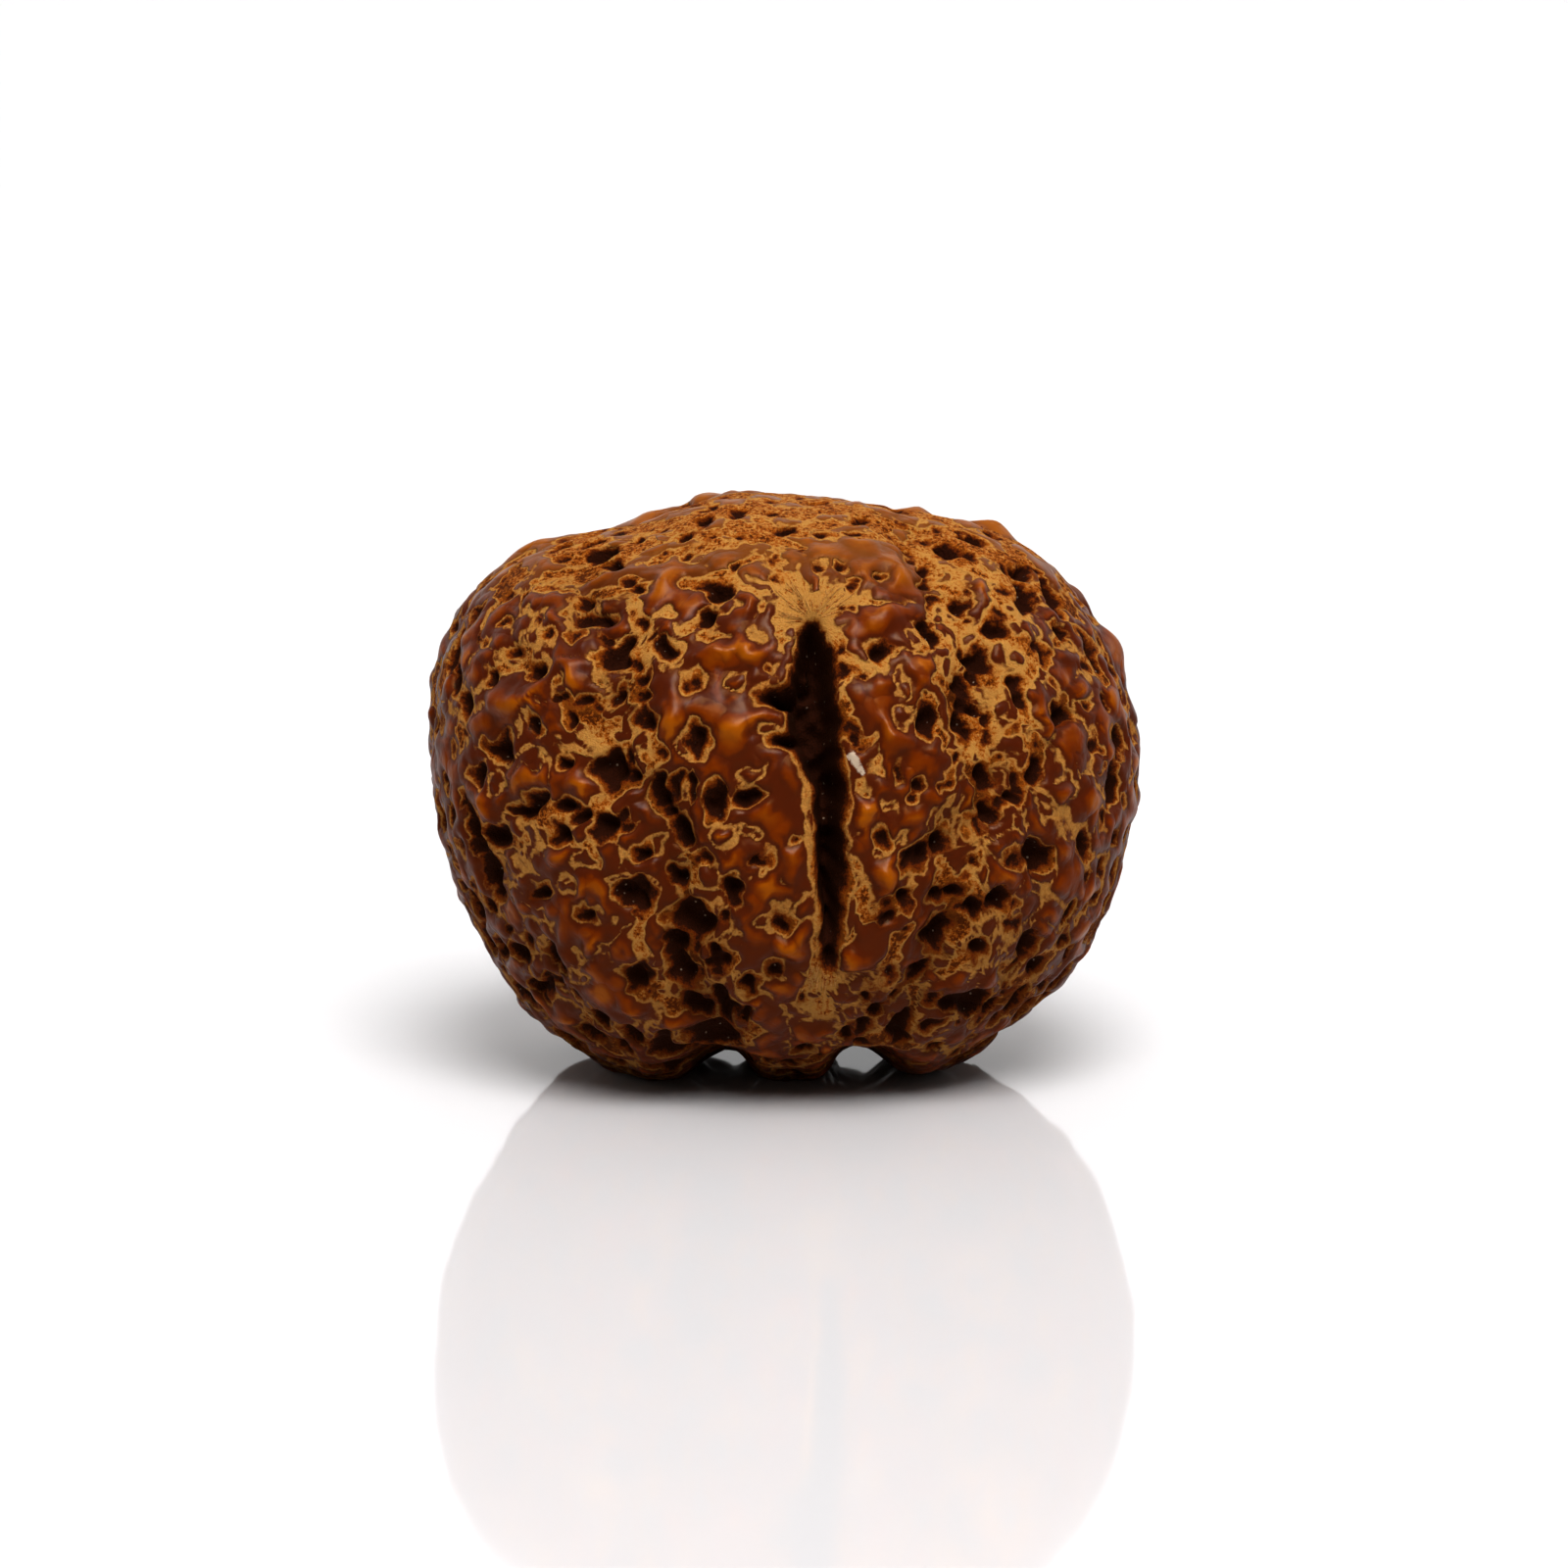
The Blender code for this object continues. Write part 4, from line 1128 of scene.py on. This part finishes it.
# in the grooves and the arches the skin is made thicker, and so darker, as painted shade
thin = summed(thin, (noise(where, *PATCHES), PATCH_THIN), (is_hollow_shade, HOLLOW_SHADE_ON_SKIN))
thin = times(thin, between(skin_edge, *THICK_EDGE))
skin_colour = mixed(between(thin, 0.02, 0.32), MAROON_AND_SHEEN, RUSSET)
skin_colour = mixed(between(thin, 0.30, 1.00), skin_colour, AMBER)
skin_colour = mixed(times(is_crown, TAWNY_CROWN), skin_colour, TAWNY)
print("the skin's cells are about", CELL_SIZE, "mm wide")

# %% [markdown]
# Each colour is laid over the ones before it, like coats of paint behind a stencil: fibre, the glow of the
# wood near a pit, the bright cut edge, painted shade low down, skin, painted shade in the grooves, the arches
# and round the pits low down, the walls and the dark of the pits, which are dark wood with painted shade on
# them, and at last the specks of dust in the pits and the crumb.

# %% One colour over another
BLACK_AND_PIT_SHADE = (0.030, 0.0058, 0.0026, 1)
BURNT_AND_WALL_SHADE = (0.14, 0.026, 0.002, 1)
GLOW = (0.37, 0.112, 0.009, 1)
PAINTED_SHADE = (0.050, 0.0105, 0.0015, 1)
DUST = (0.30, 0.22, 0.16, 1)
CRUMB = (0.46, 0.37, 0.28, 1)
CUT_EDGE = (0.46, 0.240, 0.062, 1)
GLOW_SHARE = 0.60
CUT_SHARE = 0.75
CUT_LESS = 0.35  # near a pit the cut edge is weaker
LOW_SHADE_HEIGHTS = (13.0, 3.0)  # painted shade, darker towards the floor, sets in between these heights above the floor
LOW_SHADE_SHARE = 0.22
HOLLOW_SHADE_SHARE = 0.40
LOW_PIT_SHADE_SHARE = 0.36
GRAIN_SIZE = 0.30
CRUMB_FRAY = 0.25

is_skin = between(skin_edge, -0.02, 0.06)
is_line = minus(between(skin_edge, -0.11, -0.05), is_skin, clamp=True)
# painted shade: everything is darker towards the floor
low = between(add_node(tree, "SeparateXYZ", {"Vector": where}).outputs["Z"], *LOW_SHADE_HEIGHTS)
# and round the pits low down the painted shade is deeper
low_pit_shade = times(between(pit_edge, 0.34, 0.06), times(low, LOW_PIT_SHADE_SHARE))
grains = add_node(tree, "TexVoronoi", {"Vector": where, "Scale": 1 / GRAIN_SIZE})
grain_tone = add_node(tree, "SeparateXYZ", {"Vector": grains.outputs["Color"]}).outputs["X"]
grain = between(grains.outputs["Distance"], 0.20, 0.08)
speck = times(grain, between(grain_tone, 0.70, 0.74))  # only a few of the grains are dusty
speck = times(speck, between(pit_edge, -0.06, -0.16))
crumb_edge = summed(attribute("crumb"), (fray, CRUMB_FRAY))

coats = (
    (times(near_pit, GLOW_SHARE), GLOW),
    (times(is_line, summed(CUT_SHARE, (near_pit, -CUT_LESS))), CUT_EDGE),
    (times(low, LOW_SHADE_SHARE), UMBER_AND_SHADE),
    (is_skin, skin_colour),
    (times(is_hollow_shade, HOLLOW_SHADE_SHARE), PAINTED_SHADE),
    (low_pit_shade, PAINTED_SHADE),
    # the pits' walls and holes are dark wood, with painted shade of the hole on top
    (between(pit_edge, 0.13, 0.02), BURNT_AND_WALL_SHADE),
    (between(pit_edge, 0.04, -0.05), BLACK_AND_PIT_SHADE),
    (speck, DUST),
    (between(crumb_edge, 0.04, -0.04), CRUMB),
)
colour = fibre.outputs["Colour"]
for share, coat in coats:
    colour = mixed(share, colour, coat)
print(len(coats), "coats of colour over the fibre")

# %% [markdown]
# Skin is smoother than fibre, and where it looks up it is polished by handling. The finest relief is a
# bump: the threads on the fibre, the cells and a little unevenness on the skin.

# %% The shine and the finest relief
ROUGH_FIBRE = 0.80
SMOOTHER_SKIN = 0.46
LOOKS_UP = (0.10, 0.60)
POLISH = 0.22
DULL_CROWN = 0.8
POLISHED_EDGE = (0.02, 0.20)
UNEVENNESS = (0.5, 2.0)
UNEVEN_RISE = 0.03

normal = add_node(tree, "TexCoord").outputs["Normal"]
looks_up = add_node(tree, "SeparateXYZ", {"Vector": normal}).outputs["Z"]
polish = times(between(looks_up, *LOOKS_UP), POLISH)
polish = times(polish, summed(1, (is_crown, -DULL_CROWN)))
polish = times(polish, between(skin_edge, *POLISHED_EDGE))
fine_height = times(fibre.outputs["Height"], minus(1, is_skin))
fine_height = summed(fine_height, (noise(where, *UNEVENNESS), UNEVEN_RISE))
fine_height = summed(fine_height, (times(dome, is_skin), CELL_RISE))
fill(tree, shader, {
    "Base Color": colour,
    "Roughness": summed(ROUGH_FIBRE, (is_skin, -SMOOTHER_SKIN)),
    "Coat Weight": polish,
    "Coat Roughness": 0.28,
    "Specular IOR Level": 0.15,
    "Specular Tint": (1.0, 0.58, 0.20, 1),  # light is warmed by the skin before it comes back
    "Subsurface Weight": 0.05,
    "Subsurface Radius": (0.0011, 0.0004, 0.0001),
    "Subsurface Scale": 1.0,
    "Normal": add_node(tree, "Bump", {"Distance": MM, "Height": fine_height}).outputs["Normal"],
})
print("the seed's material has", len(tree.nodes), "nodes")

# %% [markdown]
# ## Loose threads
# A few threads of the star and the brush have come free and lie on top. A bump map would lose them at the
# first look from the side, so each is a small mesh of its own: a bent spindle with closed tips, half sunk
# in the mat. Its points take their heights from the nearest points of the seed.

# %% Spindles along the threads
STAR_THREADS = 110
BRUSH_THREADS = 46
THREAD_POINTS = 7
THREAD_SIDES = 5
THREAD_RADII = (0.018, 0.034)
THREAD_LENGTHS = (0.45, 1.25)
THREAD_LIFT = 0.018
THREAD_NEIGHBOURS = 4  # points of the seed that a thread's height is taken from
STAR_STARTS = (0.12, 0.75 * STAR_REACH)
STAR_TURN = 2.3  # radians to either side of straight up, so that none lies across the slot
STAR_BEND = 0.08
STAR_STRAY = 0.03
BRUSH_START = 0.1
BRUSH_OVERHANG = 0.2  # the share of a thread that may reach below the brush
BRUSH_HALF_WIDTH = 0.5
BRUSH_BEND = 0.05
ON_SKIN = 0.02  # a thread that reaches further onto the skin is left out
OFF_PITS = 0.05  # and so is one that comes this near to a pit

tree_of_points = mathutils.kdtree.KDTree(len(plain))
for index, point in enumerate(plain):
    tree_of_points.insert(point, index)
tree_of_points.balance()


def lie_down(points, lift):
    """The points of a thread, laid on the seed with their middle a little above its surface."""
    laid = []
    for point in points:
        found = tree_of_points.find_n(point, THREAD_NEIGHBOURS)
        rise = np.mean([height[index] for _, index, _ in found])
        laid.append(point + unit(point) * (rise + lift))
    return np.array(laid)


def spindle(path, radius):
    """Points and faces of a closed spindle along a path: rings that narrow to a tip at each end."""
    steps = np.gradient(path, axis=0)
    side = unit(np.cross(steps, path))
    up = unit(np.cross(side, steps))
    turns = np.linspace(0, math.tau, THREAD_SIDES, endpoint=False)
    wide = radius * np.sin(np.linspace(0, math.pi, len(path))) ** 0.5
    points = [path[0]]
    for k in range(1, len(path) - 1):
        points += [path[k] + wide[k] * (math.cos(t) * side[k] + math.sin(t) * up[k]) for t in turns]
    points.append(path[-1])
    last = len(points) - 1
    rings = len(path) - 2
    faces = []
    for i in range(THREAD_SIDES):
        j = (i + 1) % THREAD_SIDES
        faces.append((0, 1 + j, 1 + i))
        for ring in range(rings - 1):
            a, b = 1 + ring * THREAD_SIDES, 1 + (ring + 1) * THREAD_SIDES
            faces.append((a + i, a + j, b + j, b + i))
        b = 1 + (rings - 1) * THREAD_SIDES
        faces.append((b + i, b + j, last))
    return points, faces


random = np.random.default_rng(SEED + 50)
paths = []
along = np.linspace(0, 1, THREAD_POINTS)
star_middle = on_front(*STAR_PX)
brush_middle = on_front(*BRUSH_PX)
for _ in range(STAR_THREADS):
    length = random.uniform(*THREAD_LENGTHS)
    far = random.uniform(*STAR_STARTS) + along * length
    turn = random.uniform(-STAR_TURN, STAR_TURN) + random.normal(0, STAR_BEND) * along
    turn += random.normal(0, STAR_STRAY)
    paths.append(star_middle[:2] + np.column_stack([np.sin(turn) * far, np.cos(turn) * far]))
for _ in range(BRUSH_THREADS):
    length = random.uniform(*THREAD_LENGTHS)
    down = random.uniform(BRUSH_START, BRUSH_REACH - length * (1 - BRUSH_OVERHANG)) + along * length
    beside = random.uniform(-BRUSH_HALF_WIDTH, BRUSH_HALF_WIDTH) * (1 + BRUSH_SPREAD * down)
    beside += random.normal(0, BRUSH_BEND) * along
    paths.append(brush_middle[:2] + np.column_stack([beside, -down]))

points, faces = [], []
for flat in paths:
    guess = plain_form(unit(np.column_stack([flat, np.full(len(flat), star_middle[2])])))
    nearest = [tree_of_points.find(point)[1] for point in guess]
    if skin_gap[nearest].max() < ON_SKIN and pit_gap[nearest].min() > OFF_PITS:
        made, its_faces = spindle(lie_down(guess, THREAD_LIFT), random.uniform(*THREAD_RADII))
        faces += [tuple(len(points) + corner for corner in face) for face in its_faces]
        points += made
thread_points = to_world(np.array(points))
thread_points[:, :2] -= box_middle
threads_piece = new_object("loose_threads", (thread_points * MM).tolist(), faces)
threads_piece.data.shade_smooth()
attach(threads_piece, "root")
print("threads kept:", len(points) // (THREAD_SIDES * (THREAD_POINTS - 2) + 2))

# %% The threads' material
LIGHTER_THREADS = -0.5  # shade, so less than none

tree, shader = new_material(threads_piece, "Loose thread")
inputs = {"Millimetres": in_millimetres(tree), "Shade": LIGHTER_THREADS}
thread_fibre = add_node(tree, "Group", inputs, node_tree=fibre_group)
bump = add_node(tree, "Bump", {"Distance": MM, "Height": thread_fibre.outputs["Height"]})
fill(tree, shader, {
    "Base Color": thread_fibre.outputs["Colour"],
    "Roughness": 0.7,
    "Specular IOR Level": 0.2,
    "Normal": bump.outputs["Normal"],
})
print("the threads' material has", len(tree.nodes), "nodes")

# %% [markdown]
# ## Floor, light and camera
# The seed stands on a white glossy sheet in soft light. A large lamp overhead shapes the form and gives
# each blister a soft highlight, and the white surroundings fill the shadows. The far side of the
# surroundings is the brightest, because the floor mirrors it at a flat angle. The lens is long, as for
# close-ups.

# %% The floor
FLOOR_SIZE = 4.0
half = FLOOR_SIZE / 2
corners = [(-half, -half, 0), (half, -half, 0), (half, half, 0), (-half, half, 0)]
floor = new_object("floor", corners, [(0, 1, 2, 3)])
tree, shader = new_material(floor, "White sheet")
fill(tree, shader, {"Base Color": (0.72, 0.71, 0.72, 1), "Roughness": 0.06, "Specular IOR Level": 0.28})
print("the floor is", FLOOR_SIZE, "m wide")

# %% The light
NEAR_SIDE = (0.165, 0.148, 0.136, 1)
FAR_SIDE = (1.0, 1.0, 1.0, 1)
FAR_STARTS = (-0.2, 0.7)
SOFTBOX = (0.10, -0.55, 0.83)  # where the overhead softbox hangs, as a direction from the seed
SOFTBOX_EDGE = (22, 12)  # degrees from its middle at which it starts and is full
SOFTBOX_LIGHT = (12.6, 12.6, 12.6, 1)
OVERHEAD = (0.05, -0.10, 0.50)
OVERHEAD_SIZE = 0.20
OVERHEAD_POWER = 0.5

scene = bpy.context.scene
world = scene.world or bpy.data.worlds.new("Surroundings")
scene.world = world
world.use_nodes = True
tree = world.node_tree
tree.nodes.clear()
look = add_node(tree, "TexCoord").outputs["Generated"]
parts = add_node(tree, "SeparateXYZ", {"Vector": look})
sky = mixed(between(parts.outputs["Y"], *FAR_STARTS), NEAR_SIDE, FAR_SIDE)
to_softbox = tuple(unit(np.array(SOFTBOX)))
facing = add_node(tree, "VectorMath", {0: look, 1: to_softbox}, operation="DOT_PRODUCT").outputs["Value"]
softbox = between(facing, *(math.cos(math.radians(degrees)) for degrees in SOFTBOX_EDGE))
sky = mixed(softbox, sky, SOFTBOX_LIGHT)
backdrop = add_node(tree, "Background", {"Color": sky, "Strength": 1.0})
output = tree.nodes.new("ShaderNodeOutputWorld")
tree.links.new(backdrop.outputs[0], output.inputs["Surface"])


def lamp(name, place, size, power):
    """A square soft light that looks at the seed from a place in metres."""
    data = bpy.data.lights.new(name, "AREA")
    data.size = size
    data.energy = power
    made = bpy.data.objects.new(name, data)
    made.location = place
    made.rotation_euler = (-made.location).to_track_quat("-Z", "Y").to_euler()
    scene.collection.objects.link(made)


lamp("overhead", OVERHEAD, OVERHEAD_SIZE, OVERHEAD_POWER)
scene.view_settings.view_transform = "Standard"
scene.view_settings.gamma = 0.82  # the photo's own contrast: darks are a little deeper than the eye sees them

# %% The camera
SENSOR = 36
PICTURE_PX = 1600
camera_data = bpy.data.cameras.new("camera")
camera_data.sensor_width = SENSOR
camera_data.lens = CAMERA_DISTANCE * SENSOR / (PICTURE_PX * MM_PER_PX)
camera_data.clip_start = 0.01
camera = bpy.data.objects.new("camera", camera_data)
scene.collection.objects.link(camera)
below_middle = (PICTURE_PX / 2 - MIDDLE_PX[1]) * MM_PER_PX  # from the seed's middle to the picture's
eye = to_world(np.array([[0.0, -below_middle, -CAMERA_DISTANCE]]))[0]
eye[:2] -= box_middle
camera.location = [value * MM for value in eye]
camera.rotation_euler = (math.pi / 2 - CAMERA_RISE, 0, 0)
scene.camera = camera
print("the lens is", round(camera_data.lens, 1), "mm long")
print("the camera is at", [round(value, 4) for value in camera.location])
